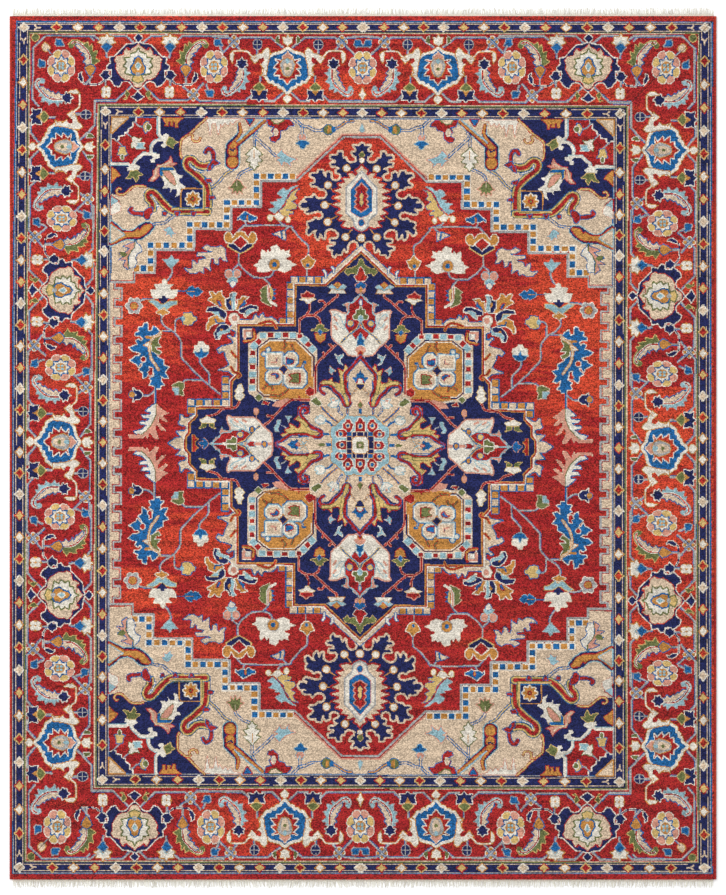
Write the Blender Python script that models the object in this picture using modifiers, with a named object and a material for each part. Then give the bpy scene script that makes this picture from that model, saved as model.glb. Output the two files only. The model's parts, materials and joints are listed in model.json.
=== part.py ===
"""Hand-knotted wool area rug with a central medallion, modelled as a textile is made.

The rug lies flat. X runs across it, Y along it and +Z up out of the pile; the origin is the centre of
its underside. A cotton ground weave carries everything. Each long side has a cotton cord overcast with
wool, and each short end has a flat woven kilim band, a row of locking stitches and the warp fringe. The
pile stands on the ground weave in the areas of the design: an edge band, two guard stripes and the main
border, each mitred at the corners, then the field with its spandrels, corner pieces, pendants and the
medallion.
"""
import bpy
import bmesh
from math import cos, pi, sin

# ---- driving dimensions, metres ---------------------------------------------------------------
RUG_WIDTH = 2.438              # over the two overcast sides, an eight foot rug
PILE_LENGTH = 2.976            # the knotted part, along the warps
FRINGE_LENGTH = 0.028          # free warp ends past the kilim
KILIM_LENGTH = 0.008           # flat woven band past the pile
GROUND_THICKNESS = 0.003       # warps and wefts
PILE_HEIGHT = 0.008            # clipped wool above the ground weave
SELVEDGE_DIAMETER = 0.0098     # the overcast side cord
CORE_DIAMETER = 0.0044         # the cotton bundle inside it
KILIM_THICKNESS = 0.0028
FRINGE_THICKNESS = 0.0024
STITCH_THICKNESS = 0.0012      # the locking stitches, on top of the kilim
STITCH_WIDTH = 0.0026
CLEARANCE = 0.0003             # between pieces that touch

EDGE_BAND_WIDTH = 0.018        # plain red, across the ends
EDGE_BAND_SIDE_WIDTH = 0.0045  # the same band beside the overcasting
OUTER_GUARD_WIDTH = 0.051
MAIN_BORDER_WIDTH = 0.233
INNER_GUARD_WIDTH = 0.052

FRINGE_TASSELS = 80            # bundles of warps in each fringe
FRINGE_HEADER = 0.006          # where the bundles are still held together
TASSEL_FILL = 0.8              # share of its pitch that a bundle fills
ROUND_SIDES = 20

# Half sizes of the field that the outlines below are drawn for. They're stretched to the field's own.
DRAWN_FIELD = (0.8684, 1.134)

# The medallion, from its centre: half sizes of its stepped outline in the first quarter.
MEDALLION_HALF_LENGTH = 0.668
MEDALLION_HALF_WIDTH = 0.612
MEDALLION_STEPS = [            # (x, y) of its corners between the end point and the side
    (0.125, 0.551), (0.227, 0.551), (0.227, 0.412), (0.422, 0.412), (0.422, 0.235),
    (0.447, 0.222), (0.447, 0.133), (0.567, 0.133), (0.567, 0.106), (0.595, 0.076),
]
MEDALLION_SIDE_HALF = 0.036    # half the short straight side at each side

# A pendant stands over each end point: half its outline, from its foot to its tip, as (x, y past the
# medallion's end point). It's drawn at this length and scaled to the room it has.
PENDANT_OUTLINE = [
    (0.050, 0.010), (0.098, 0.000), (0.128, 0.040), (0.180, 0.076), (0.196, 0.112), (0.170, 0.136),
    (0.208, 0.170), (0.166, 0.212), (0.168, 0.262), (0.096, 0.300), (0.088, 0.338), (0.032, 0.336),
]
PENDANT_HALF_FOOT = 0.014
PENDANT_CLEAR = 0.004          # pile of the field between an end point and its pendant
PENDANT_LENGTH = 0.366
PENDANT_TIP_CLEAR = 0.029      # pile of the field between its tip and the spandrel's neck

# Spandrels: the steps along each side of a spandrel's inner edge, as (distance in from the side of the
# field, distance in from its end).
SPANDREL_NECK = 0.067          # depth of the strip that joins its two halves
SPANDREL_NECK_HALF = 0.066     # half the length of that strip's straight edge
SPANDREL_STEPS = [
    (0.640, 0.222), (0.521, 0.222), (0.521, 0.314), (0.419, 0.314), (0.419, 0.392), (0.291, 0.392),
    (0.291, 0.465), (0.156, 0.465), (0.156, 0.546), (0.085, 0.546), (0.085, 0.579),
]

# Corner pieces: outline of the arabesque in each corner of the field, from the corner.
CORNER_OUTLINE = [
    (0.0, 0.0), (0.330, 0.0), (0.272, 0.062), (0.262, 0.120), (0.262, 0.180), (0.352, 0.258),
    (0.352, 0.318), (0.250, 0.318), (0.160, 0.236), (0.118, 0.236), (0.088, 0.260), (0.0, 0.270),
]

WOOL_RED = (0.50, 0.055, 0.045)
WOOL_NAVY = (0.030, 0.045, 0.16)
WOOL_BEIGE = (0.68, 0.56, 0.43)
COTTON = (0.82, 0.77, 0.66)


def clear_scene():
    """Remove whatever the opened file holds."""
    for old in list(bpy.data.objects):
        bpy.data.objects.remove(old, do_unlink=True)


def yarn_material(name, color, roughness=0.9):
    """A matt yarn of one colour."""
    material = bpy.data.materials.new(name)
    material.use_nodes = True
    shader = material.node_tree.nodes["Principled BSDF"]
    shader.inputs["Base Color"].default_value = (*color, 1.0)
    shader.inputs["Roughness"].default_value = roughness
    shader.inputs["Metallic"].default_value = 0.0
    return material


def keep(piece, color):
    """File a finished piece in the rug's collection, with a material of its own."""
    for held in piece.users_collection:
        held.objects.unlink(piece)
    RUG.objects.link(piece)
    piece.data.materials.clear()
    piece.data.materials.append(yarn_material(f"{piece.name}_yarn", color))
    return piece


def box(name, center, size, color):
    """An upright box."""
    mesh = bpy.data.meshes.new(name)
    shape = bmesh.new()
    bmesh.ops.create_cube(shape, size=1.0)
    bmesh.ops.scale(shape, vec=size, verts=shape.verts)
    shape.to_mesh(mesh)
    shape.free()
    piece = bpy.data.objects.new(name, mesh)
    piece.location = center
    return keep(piece, color)


def signed_area(points):
    """Area of a closed outline, positive when it runs anticlockwise."""
    total = 0.0
    for (x0, y0), (x1, y1) in zip(points, points[1:] + points[:1]):
        total += x0 * y1 - x1 * y0
    return total / 2


def inset(points, distance):
    """The outline moved inwards by a distance, or outwards by a negative one."""
    if signed_area(points) < 0:
        points = points[::-1]
    moved = []
    count = len(points)
    for index in range(count):
        ax, ay = points[index - 1]
        bx, by = points[index]
        cx, cy = points[(index + 1) % count]
        first = ((bx - ax) ** 2 + (by - ay) ** 2) ** 0.5
        second = ((cx - bx) ** 2 + (cy - by) ** 2) ** 0.5
        # Inward normals of the two edges that meet here.
        nx0, ny0 = -(by - ay) / first, (bx - ax) / first
        nx1, ny1 = -(cy - by) / second, (cx - bx) / second
        spread = 1.0 + nx0 * nx1 + ny0 * ny1
        moved.append((bx + distance * (nx0 + nx1) / spread, by + distance * (ny0 + ny1) / spread))
    return moved


def add_outline(curve, points):
    """One closed straight-sided outline of a flat shape."""
    spline = curve.splines.new("POLY")
    spline.points.add(len(points) - 1)
    for place, (x, y) in zip(spline.points, points):
        place.co = (x, y, 0.0, 1.0)
    spline.use_cyclic_u = True


def slab(name, outline, bottom, top, color, holes=()):
    """A flat shape of an outline, with holes, between two heights."""
    curve = bpy.data.curves.new(name, "CURVE")
    curve.dimensions = "2D"
    curve.fill_mode = "BOTH"
    curve.extrude = (top - bottom) / 2
    add_outline(curve, outline)
    for hole in holes:
        add_outline(curve, hole)
    piece = bpy.data.objects.new(name, curve)
    piece.location = (0.0, 0.0, (top + bottom) / 2)
    return keep(piece, color)


def pile(name, outline, color, holes=()):
    """An area of pile: its outline pulled in, and its holes let out, by half the clearance."""
    half = CLEARANCE / 2
    return slab(name, inset(outline, half), PILE_BOTTOM, PILE_TOP, color,
                [inset(hole, -half) for hole in holes])


def quarter_to_full(quarter):
    """A closed outline from its first-quarter points, which run from the Y axis to the X axis."""
    right = quarter + [(x, -y) for x, y in reversed(quarter) if y > 1e-9]
    left = [(-x, y) for x, y in reversed(right) if x > 1e-9]
    return right + left


def rectangle(half_x, half_y):
    """A centred rectangle's corners, anticlockwise from the lower left."""
    return [(-half_x, -half_y), (half_x, -half_y), (half_x, half_y), (-half_x, half_y)]


def mitred_band(name, outer, inner, color):
    """Four mitred lengths of a border, between an outer and an inner rectangle."""
    sides = {"bottom": (0, 1), "right": (1, 2), "top": (2, 3), "left": (3, 0)}
    for side, (start, end) in sides.items():
        pile(f"{name}_{side}", [outer[start], outer[end], inner[end], inner[start]], color)


def make_ground():
    """The cotton ground weave under all of the pile."""
    size = (2 * GROUND_HALF_WIDTH, PILE_LENGTH, GROUND_THICKNESS)
    box("woven_foundation", (0.0, 0.0, GROUND_THICKNESS / 2), size, COTTON)


def make_selvedge(side, sign):
    """A side cord: a cotton core inside a tube of overcast wool, open at its ends."""
    radius = SELVEDGE_DIAMETER / 2
    x = sign * (RUG_WIDTH / 2 - radius)
    bore = CORE_DIAMETER / 2 + CLEARANCE
    core = rod(f"selvedge_core_{side}", CORE_DIAMETER / 2, PILE_LENGTH, COTTON)
    core.location = (x, 0.0, radius)
    wall = (radius + bore) / 2
    mesh = bpy.data.meshes.new(f"selvedge_wrap_{side}")
    shape = bmesh.new()
    ring = [(wall * cos(2 * pi * step / ROUND_SIDES), wall * sin(2 * pi * step / ROUND_SIDES))
            for step in range(ROUND_SIDES)]
    ends = [[shape.verts.new((px, y, pz)) for px, pz in ring]
            for y in (-PILE_LENGTH / 2, PILE_LENGTH / 2)]
    for step in range(ROUND_SIDES):
        after = (step + 1) % ROUND_SIDES
        shape.faces.new((ends[0][step], ends[1][step], ends[1][after], ends[0][after]))
    shape.to_mesh(mesh)
    shape.free()
    mesh.shade_smooth()
    wrap = bpy.data.objects.new(f"selvedge_wrap_{side}", mesh)
    wrap.location = (x, 0.0, radius)
    thicken = wrap.modifiers.new("wool", "SOLIDIFY")
    thicken.thickness = radius - bore
    thicken.offset = 0.0
    keep(wrap, WOOL_RED)


def rod(name, radius, length, color):
    """A round rod along Y."""
    mesh = bpy.data.meshes.new(name)
    shape = bmesh.new()
    bmesh.ops.create_cone(shape, cap_ends=True, segments=ROUND_SIDES, radius1=radius,
                          radius2=radius, depth=length)
    shape.to_mesh(mesh)
    shape.free()
    mesh.shade_smooth()
    mesh.set_sharp_from_angle(angle=pi / 4)
    piece = bpy.data.objects.new(name, mesh)
    piece.rotation_euler = (pi / 2, 0.0, 0.0)
    return keep(piece, color)


def make_end(side, sign):
    """One end: the kilim band, the locking stitches along it, and the fringe of warps."""
    start = PILE_LENGTH / 2 + CLEARANCE
    width = 2 * GROUND_HALF_WIDTH
    middle = sign * (start + KILIM_LENGTH / 2)
    box(f"kilim_end_{side}", (0.0, middle, KILIM_THICKNESS / 2),
        (width, KILIM_LENGTH, KILIM_THICKNESS), COTTON)
    stitch_y = sign * (start + KILIM_LENGTH - STITCH_WIDTH)
    stitch_z = KILIM_THICKNESS + CLEARANCE + STITCH_THICKNESS / 2
    box(f"end_lock_stitch_{side}", (0.0, stitch_y, stitch_z),
        (width, STITCH_WIDTH, STITCH_THICKNESS), COTTON)
    root = start + KILIM_LENGTH + CLEARANCE
    tip = root + FRINGE_LENGTH - KILIM_LENGTH
    slab(f"fringe_{side}", fringe_outline(width, sign * root, sign * (root + FRINGE_HEADER), sign * tip),
         0.0, FRINGE_THICKNESS, COTTON)


def fringe_outline(width, root, header, tip):
    """A comb: the header along the kilim, and one tooth for each bundle of warps."""
    pitch = width / FRINGE_TASSELS
    half = pitch * TASSEL_FILL / 2
    points = [(-width / 2, root), (-width / 2, header)]
    for tassel in range(FRINGE_TASSELS):
        middle = -width / 2 + pitch * (tassel + 0.5)
        points += [(middle - half, header), (middle - half, tip),
                   (middle + half, tip), (middle + half, header)]
    return points + [(width / 2, header), (width / 2, root)]


def make_borders():
    """The edge band, guard stripes and main border, from the outside in."""
    mitred_band("edge_band_pile", BAND_RECTANGLES[0], BAND_RECTANGLES[1], WOOL_RED)
    mitred_band("outer_guard_pile", BAND_RECTANGLES[1], BAND_RECTANGLES[2], WOOL_NAVY)
    mitred_band("main_border_pile", BAND_RECTANGLES[2], BAND_RECTANGLES[3], WOOL_RED)
    mitred_band("inner_guard_pile", BAND_RECTANGLES[3], BAND_RECTANGLES[4], WOOL_NAVY)


def fitted(points):
    """Points drawn for DRAWN_FIELD, stretched to the field inside the borders."""
    half_x, half_y = BAND_HALVES[4]
    return [(x * half_x / DRAWN_FIELD[0], y * half_y / DRAWN_FIELD[1]) for x, y in points]


def medallion_outline():
    """The stepped navy medallion."""
    quarter = [(0.0, MEDALLION_HALF_LENGTH)] + MEDALLION_STEPS
    quarter += [(MEDALLION_HALF_WIDTH, MEDALLION_SIDE_HALF)]
    return quarter_to_full(fitted(quarter))


def pendant_outline(sign):
    """The spiky pendant beyond one of the medallion's end points, its foot cut to clear the point."""
    foot = MEDALLION_HALF_LENGTH + PENDANT_CLEAR
    room = DRAWN_FIELD[1] - SPANDREL_NECK - PENDANT_TIP_CLEAR - foot
    scale = room / PENDANT_LENGTH
    right = [(PENDANT_HALF_FOOT, 0.0)] + PENDANT_OUTLINE
    points = [(x * scale, foot + y * scale) for x, y in right]
    points.append((0.0, foot + room))
    points += [(-x * scale, foot + y * scale) for x, y in reversed(right)]
    return [(x, sign * y) for x, y in fitted(points)]


def corner_outline(sign_x, sign_y):
    """A corner piece's outline in one corner of the field."""
    half_x, half_y = DRAWN_FIELD
    points = fitted([(half_x - x, half_y - y) for x, y in CORNER_OUTLINE])
    return [(sign_x * x, sign_y * y) for x, y in points]


def spandrel_outline(sign):
    """A spandrel: two stepped corners and the strip that joins them, less its corner pieces."""
    half_x, half_y = DRAWN_FIELD
    corner = CORNER_OUTLINE
    right = [(half_x - corner[1][0], half_y)]
    right += [(half_x - x, half_y - y) for x, y in corner[2:]]
    right += [(half_x, half_y - SPANDREL_STEPS[-1][1])]
    right += [(half_x - x, half_y - y) for x, y in reversed(SPANDREL_STEPS)]
    right += [(SPANDREL_NECK_HALF, half_y - SPANDREL_NECK)]
    points = fitted(right + [(-x, y) for x, y in reversed(right)])
    return [(x, sign * y) for x, y in points]


def field_outline():
    """The red field: between the two spandrels' inner edges and the inner guards."""
    half_x, half_y = DRAWN_FIELD
    quarter = [(SPANDREL_NECK_HALF, half_y - SPANDREL_NECK)]
    quarter += [(half_x - x, half_y - y) for x, y in SPANDREL_STEPS]
    quarter += [(half_x, half_y - SPANDREL_STEPS[-1][1])]
    return quarter_to_full(fitted(quarter))


def make_field():
    """The field with everything that is drawn as an area of its own inside the inner guards."""
    medallion = medallion_outline()
    pendants = {"top": pendant_outline(1), "bottom": pendant_outline(-1)}
    pile("field_pile", field_outline(), WOOL_RED, [medallion, *pendants.values()])
    pile("medallion_pile", medallion, WOOL_NAVY)
    for side, outline in pendants.items():
        pile(f"pendant_pile_{side}", outline, WOOL_NAVY)
    for side_y, sign_y in (("top", 1), ("bottom", -1)):
        pile(f"spandrel_pile_{side_y}", spandrel_outline(sign_y), WOOL_BEIGE)
        for side_x, sign_x in (("left", -1), ("right", 1)):
            pile(f"corner_pile_{side_y}_{side_x}", corner_outline(sign_x, sign_y), WOOL_NAVY)


clear_scene()
RUG = bpy.data.collections.new("area_rug")
bpy.context.scene.collection.children.link(RUG)

GROUND_HALF_WIDTH = RUG_WIDTH / 2 - SELVEDGE_DIAMETER - CLEARANCE
PILE_BOTTOM = GROUND_THICKNESS + CLEARANCE
PILE_TOP = PILE_BOTTOM + PILE_HEIGHT
BAND_HALVES = [(GROUND_HALF_WIDTH, PILE_LENGTH / 2)]
for side_width, end_width in ((EDGE_BAND_SIDE_WIDTH, EDGE_BAND_WIDTH),
                              (OUTER_GUARD_WIDTH, OUTER_GUARD_WIDTH),
                              (MAIN_BORDER_WIDTH, MAIN_BORDER_WIDTH),
                              (INNER_GUARD_WIDTH, INNER_GUARD_WIDTH)):
    last_x, last_y = BAND_HALVES[-1]
    BAND_HALVES.append((last_x - side_width, last_y - end_width))
BAND_RECTANGLES = [rectangle(half_x, half_y) for half_x, half_y in BAND_HALVES]

make_ground()
for end_name, end_sign in (("top", 1), ("bottom", -1)):
    make_end(end_name, end_sign)
for side_name, side_sign in (("left", -1), ("right", 1)):
    make_selvedge(side_name, side_sign)
make_borders()
make_field()
bpy.context.view_layer.update()
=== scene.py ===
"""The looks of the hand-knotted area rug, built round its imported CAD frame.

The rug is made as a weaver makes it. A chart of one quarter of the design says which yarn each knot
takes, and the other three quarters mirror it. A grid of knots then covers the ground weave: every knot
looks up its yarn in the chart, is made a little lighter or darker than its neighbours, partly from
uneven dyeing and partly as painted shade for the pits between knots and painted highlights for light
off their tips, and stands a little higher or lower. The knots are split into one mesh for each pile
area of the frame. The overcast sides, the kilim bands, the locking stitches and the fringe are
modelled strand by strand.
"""
import json
from math import cos, hypot, pi, sin

import bpy
import numpy as np
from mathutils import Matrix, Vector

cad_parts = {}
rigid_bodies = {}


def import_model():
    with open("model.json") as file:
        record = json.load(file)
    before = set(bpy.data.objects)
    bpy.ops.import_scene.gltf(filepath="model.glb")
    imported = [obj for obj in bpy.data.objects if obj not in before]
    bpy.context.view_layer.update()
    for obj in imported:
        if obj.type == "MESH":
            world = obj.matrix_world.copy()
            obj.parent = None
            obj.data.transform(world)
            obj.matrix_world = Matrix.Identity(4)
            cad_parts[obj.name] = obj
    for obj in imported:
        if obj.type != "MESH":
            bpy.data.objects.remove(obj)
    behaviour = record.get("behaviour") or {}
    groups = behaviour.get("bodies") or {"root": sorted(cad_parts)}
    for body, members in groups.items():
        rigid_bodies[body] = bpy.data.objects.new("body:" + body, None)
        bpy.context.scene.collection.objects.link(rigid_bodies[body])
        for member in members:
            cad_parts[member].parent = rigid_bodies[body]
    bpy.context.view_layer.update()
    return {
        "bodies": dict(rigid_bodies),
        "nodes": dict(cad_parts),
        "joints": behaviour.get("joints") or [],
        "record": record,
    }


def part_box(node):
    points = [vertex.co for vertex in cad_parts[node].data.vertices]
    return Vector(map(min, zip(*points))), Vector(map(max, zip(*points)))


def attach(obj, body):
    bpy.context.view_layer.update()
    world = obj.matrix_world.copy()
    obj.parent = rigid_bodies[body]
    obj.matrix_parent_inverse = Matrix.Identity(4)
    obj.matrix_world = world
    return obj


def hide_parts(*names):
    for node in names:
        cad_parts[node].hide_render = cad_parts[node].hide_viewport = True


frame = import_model()

# ---- the chart: one quarter of the design, in millimetres from the rug's middle -----------------
YARNS = ["red", "navy", "blue", "sky", "mist", "ivory", "beige", "gold", "orange", "olive", "pink", "moss"]
RED, NAVY, BLUE, SKY, MIST, IVORY, BEIGE, GOLD, ORANGE, OLIVE, PINK, MOSS = range(len(YARNS))
CELL = 1.3                     # side of a chart cell
CHART_WIDTH = 1225.0
CHART_HEIGHT = 1495.0


class Chart:
    def __init__(self):
        self.cols = int(CHART_WIDTH / CELL)
        self.rows = int(CHART_HEIGHT / CELL)
        self.yarn = np.full((self.rows, self.cols), RED, np.uint8)

    def window(self, points, reach):
        u = [p[0] for p in points]
        v = [p[1] for p in points]
        c0 = max(0, int((-max(u) - reach) / CELL) - 1)
        c1 = min(self.cols, int((-min(u) + reach) / CELL) + 2)
        r0 = max(0, int((min(v) - reach) / CELL) - 1)
        r1 = min(self.rows, int((max(v) + reach) / CELL) + 2)
        if c1 <= c0 or r1 <= r0:
            return None
        us = -(np.arange(c0, c1) + 0.5) * CELL
        vs = (np.arange(r0, r1) + 0.5) * CELL
        return (slice(r0, r1), slice(c0, c1)), us[None, :], vs[:, None]

    def shape(self, points, fill, line=None, width=4.0):
        """Fill an outline with one yarn, with a rim of another if one is named."""
        got = self.window(points, width)
        if got is None:
            return
        place, us, vs = got
        inner = inside(points, us, vs)
        view = self.yarn[place]
        if line is not None:
            view[inner | (distance(points, us, vs, True) <= width)] = line
        if fill is not None:
            view[inner] = fill

    def stroke(self, points, yarn, width, closed=False):
        """Draw a line of the given width through the points."""
        got = self.window(points, width)
        if got is None:
            return
        place, us, vs = got
        self.yarn[place][distance(points, us, vs, closed) <= width / 2] = yarn


def inside(points, us, vs):
    """Which of the cells (us, vs) lie inside the outline."""
    odd = np.zeros(np.broadcast(us, vs).shape, bool)
    for (x0, y0), (x1, y1) in zip(points, points[1:] + points[:1]):
        if y0 == y1:
            continue
        cross = x0 + (vs - y0) * (x1 - x0) / (y1 - y0)
        odd ^= ((vs >= min(y0, y1)) & (vs < max(y0, y1))) & (us < cross)
    return odd


def distance(points, us, vs, closed):
    """How far each of the cells (us, vs) lies from the line through the points."""
    best = np.full(np.broadcast(us, vs).shape, 1e9)
    ends = points[1:] + (points[:1] if closed else [])
    for (x0, y0), (x1, y1) in zip(points, ends):
        dx, dy = x1 - x0, y1 - y0
        length = dx * dx + dy * dy or 1e-9
        along = np.clip(((us - x0) * dx + (vs - y0) * dy) / length, 0, 1)
        best = np.minimum(best, (us - x0 - along * dx) ** 2 + (vs - y0 - along * dy) ** 2)
    return np.sqrt(best)


def curve(points, closed=False, steps=4):
    """Catmull-Rom."""
    n = len(points)
    out = []
    spans = n if closed else n - 1
    for i in range(spans):
        p = [points[(i + k) % n] if closed else points[min(max(i + k, 0), n - 1)] for k in (-1, 0, 1, 2)]
        for s in range(steps):
            t = s / steps
            out.append(tuple(0.5 * (2 * p[1][a] + (p[2][a] - p[0][a]) * t + (2 * p[0][a] - 5 * p[1][a] + 4
                    * p[2][a] - p[3][a]) * t * t + (3 * p[1][a] - p[0][a] - 3 * p[2][a] + p[3][a])
                                    * t ** 3) for a in (0, 1)))
    if not closed:
        out.append(points[-1])
    return out


def oval(u, v, ru, rv=None, turn=0.0, sides=20):
    """An oval outline round (u, v) with half widths ru and rv."""
    rv = ru if rv is None else rv
    c, s = cos(turn), sin(turn)
    return [(u + ru * cos(a) * c - rv * sin(a) * s, v + ru * cos(a) * s + rv * sin(a) * c)
            for a in (2 * pi * k / sides for k in range(sides))]


def whole(half):
    """A closed outline from its right half, top to bottom."""
    return list(half) + [(-s, t) for s, t in reversed(half) if abs(s) > 1e-6]


def offset(points, side):
    out = []
    for i, (x, y) in enumerate(points):
        x0, y0 = points[max(i - 1, 0)]
        x1, y1 = points[min(i + 1, len(points) - 1)]
        d = hypot(x1 - x0, y1 - y0) or 1
        out.append((x - (y1 - y0) / d * side, y + (x1 - x0) / d * side))
    return out


class Spot:
    """Draws local (s, t) shapes at a place of the chart: s along, t outwards."""
    def __init__(self, chart, u, v, along=(1, 0), out=(0, 1), stretch=1.0, tall=1.0):
        self.chart = chart
        self.u, self.v, self.along, self.out, self.stretch, self.tall = u, v, along, out, stretch, tall

    def put(self, points):
        a, o = self.along, self.out
        return [(self.u + a[0] * s * self.stretch + o[0] * t * self.tall, self.v + a[1] * s * self.stretch
                 + o[1] * t * self.tall) for s, t in points]

    def shape(self, points, fill, line=None, width=4.0):
        """Fill an outline given in the spot's own directions."""
        self.chart.shape(self.put(points), fill, line, width)

    def stroke(self, points, yarn, width=4.0, closed=False):
        """Draw a line given in the spot's own directions."""
        self.chart.stroke(self.put(points), yarn, width, closed)

    def vine(self, points, side=1, core=MIST, edge=BLUE, width=6.0):
        self.stroke(offset(points, side * width * 0.55), edge, width * 0.7)
        self.stroke(points, core, width)

    def sub(self, s, t, turn=0.0, flip=1, scale=1.0):
        """A spot inside this one, turned by degrees."""
        (u, v), = self.put([(s, t)])
        c, n = cos(turn * pi / 180) * scale, sin(turn * pi / 180) * scale
        a, o = self.along, self.out
        along = ((a[0] * c + o[0] * n) * flip, (a[1] * c + o[1] * n) * flip)
        out = (-a[0] * n + o[0] * c, -a[1] * n + o[1] * c)
        return Spot(self.chart, u, v, along, out)


def rosette(spot, half_s=50, half_t=60):
    """Eight petals, pink and gold, round a white star."""
    ring = []
    for k in range(64):
        a = 2 * pi * k / 64
        r = 0.87 + 0.13 * abs(sin(4 * a)) ** 0.5
        ring.append((half_s * r * cos(a), half_t * r * sin(a)))
    spot.shape(ring, IVORY)
    for k in range(8):
        a = pi / 8 + k * pi / 4
        yarn = PINK if k % 2 else GOLD
        petal = []
        for da, r in ((-0.34, 0.50), (-0.37, 0.70), (-0.33, 0.86), (-0.17, 0.94), (0, 0.955), (0.17, 0.94),
                      (0.33, 0.86), (0.37, 0.70), (0.34, 0.50)):
            petal.append((half_s * r * cos(a + da), half_t * r * sin(a + da)))
        spot.shape(petal, yarn)
    star = []
    for k in range(16):
        a = k * pi / 8
        r = 0.60 if k % 2 == 0 else 0.40
        star.append((half_s * r * cos(a), half_t * r * sin(a)))
    spot.shape(star, IVORY, BLUE, 4.0)
    spot.shape(oval(0, 0, half_s * 0.34, half_t * 0.34), ORANGE)
    for a in (1, 3, 5, 7):
        spot.shape(oval(half_s * 0.17 * cos(a * pi / 4), half_t * 0.17 * sin(a * pi / 4), half_s * 0.10,
                        half_t * 0.10), SKY)


def vine_knot(spot):
    """Where two vines cross: four orange beads round a light star."""
    for k in range(4):
        a = k * pi / 2
        spot.shape(oval(12 * cos(a), 14 * sin(a), 6), ORANGE, IVORY, 3)
    for k in (1, 3):
        a = k * pi / 4
        spot.stroke([(-17 * cos(a), -17 * sin(a)), (17 * cos(a), 17 * sin(a))], BLUE, 9)
        spot.stroke([(-17 * cos(a), -17 * sin(a)), (17 * cos(a), 17 * sin(a))], MIST, 5)


def white_flower(spot):
    """A white crown on a royal-blue heart; local origin at the heart's top."""
    crown = [(0, 34), (5, 23), (24, 22), (20, 12), (30, 3), (19, -2), (12, -8), (0, 2)]
    spot.shape(whole(crown), IVORY, ORANGE, 3.5)
    spot.shape(whole([(0, 12), (14, -4), (17, -12), (0, -4)]), SKY)
    spot.shape(whole([(0, 8), (8, -2), (0, -2)]), ORANGE)
    spot.shape(whole([(0, 2), (8, -4), (18, -12), (8, -22), (4, -31), (0, -34)]), BLUE, MIST, 2.5)


def clover(spot):
    """Four ivory lobes with an orange cross."""
    spot.shape(oval(0, 0, 19, 22), ORANGE)
    for a, b in ((1, 1), (1, -1), (-1, 1), (-1, -1)):
        spot.shape(oval(8 * a, 9 * b, 8, 10), IVORY)


def crossed_disc(spot):
    spot.shape(oval(0, 0, 15, 17), NAVY, MIST, 2.5)
    spot.stroke([(-15, 0), (15, 0)], MIST, 2.8)
    spot.stroke([(0, -17), (0, 17)], MIST, 2.8)


def small_blue(spot):
    """A small blue cup."""
    spot.shape([(-9, 14), (9, 12), (12, 0), (18, -8), (4, -9), (-6, -10), (-12, -4)], BLUE, MIST, 3)


def thistle(spot):
    """Olive head with a gold rim over a navy crown; local origin at the head's centre."""
    spot.shape(whole([(0, -14), (12, -8), (27, -5), (25, -18), (22, -26), (28, -38), (8, -36), (0, -46)]),
               NAVY, IVORY, 3)
    spot.shape(whole([(0, -2), (16, 0), (0, -26)]), ORANGE)
    spot.shape(whole([(0, 20), (9, 13), (19, 3), (12, -3), (0, -7)]), OLIVE, GOLD, 3)


def bell_leaf(spot):
    """Serrated olive and ivory leaf that hooks over, on an orange bell.
    Local origin at the bell's mouth; s grows towards the hook."""
    spine = curve([(0, 8), (1, 30), (4, 48), (16, 66), (34, 84), (50, 92), (62, 90), (68, 80)])
    outer = [(-6, 8), (-14, 14), (-32, 26), (-18, 34), (-22, 60), (-8, 56), (-4, 84), (6, 74), (10, 92),
             (22, 84), (34, 92), (50, 99), (66, 97), (76, 84), (70, 72), (62, 76), (58, 84), (48, 86),
             (30, 76), (12, 56), (4, 34), (2, 8)]
    spot.shape(outer, OLIVE, GOLD, 2.5)
    inner = [(2, 8), (14, 10), (16, 18), (24, 22), (14, 32), (22, 44), (30, 46), (16, 50), (38, 60),
             (36, 66), (52, 80), (44, 84), (24, 68), (6, 50), (2, 30)]
    spot.shape(inner, BEIGE, BLUE, 3.5)
    spot.stroke(spine, IVORY, 8)
    spot.stroke(spine, RED, 4)
    spot.shape(oval(68, 78, 8), OLIVE)
    spot.shape([(-18, 0), (-10, 8), (0, 12), (10, 8), (18, 0), (12, -14), (5, -24), (0, -32), (-5, -24),
                (-12, -14)], ORANGE, BLUE, 3.5)
    spot.vine([(0, -34), (0, -54)])


def bud_leaf(spot):
    """Serrated sky-blue and ivory leaf that hooks under, with a navy bud.
    Local origin at the bud's centre; s grows towards the hook."""
    spine = curve([(-5, -18), (-5, -50), (4, -74), (30, -98), (48, -108), (60, -104), (64, -92), (60, -84)])
    outer = [(-8, -16), (-18, -20), (-13, -28), (-29, -33), (-16, -43), (-17, -54), (-25, -64), (-12, -68),
             (-11, -78), (-13, -91), (-2, -88), (6, -86), (5, -100), (16, -94), (36, -111), (52, -115),
             (66, -106), (69, -92), (62, -80), (52, -84), (54, -96), (46, -101), (24, -88), (2, -68),
             (-6, -50)]
    spot.shape(outer, SKY, MIST, 2.5)
    inner = [(-4, -16), (8, -15), (9, -25), (19, -32), (10, -40), (21, -53), (17, -58), (30, -69),
             (26, -73), (39, -86), (38, -97), (20, -82), (4, -62), (-3, -40)]
    spot.shape(inner, BEIGE, BLUE, 3.5)
    spot.stroke(spine, IVORY, 8)
    spot.stroke(spine, RED, 4)
    spot.shape(oval(59, -87, 7), SKY, MIST, 2)
    spot.shape(whole([(0, 20), (6, 10), (17, 9), (14, 0), (20, -6), (11, -9), (7, -17), (0, -19)]), NAVY,
               IVORY, 3)


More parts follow.
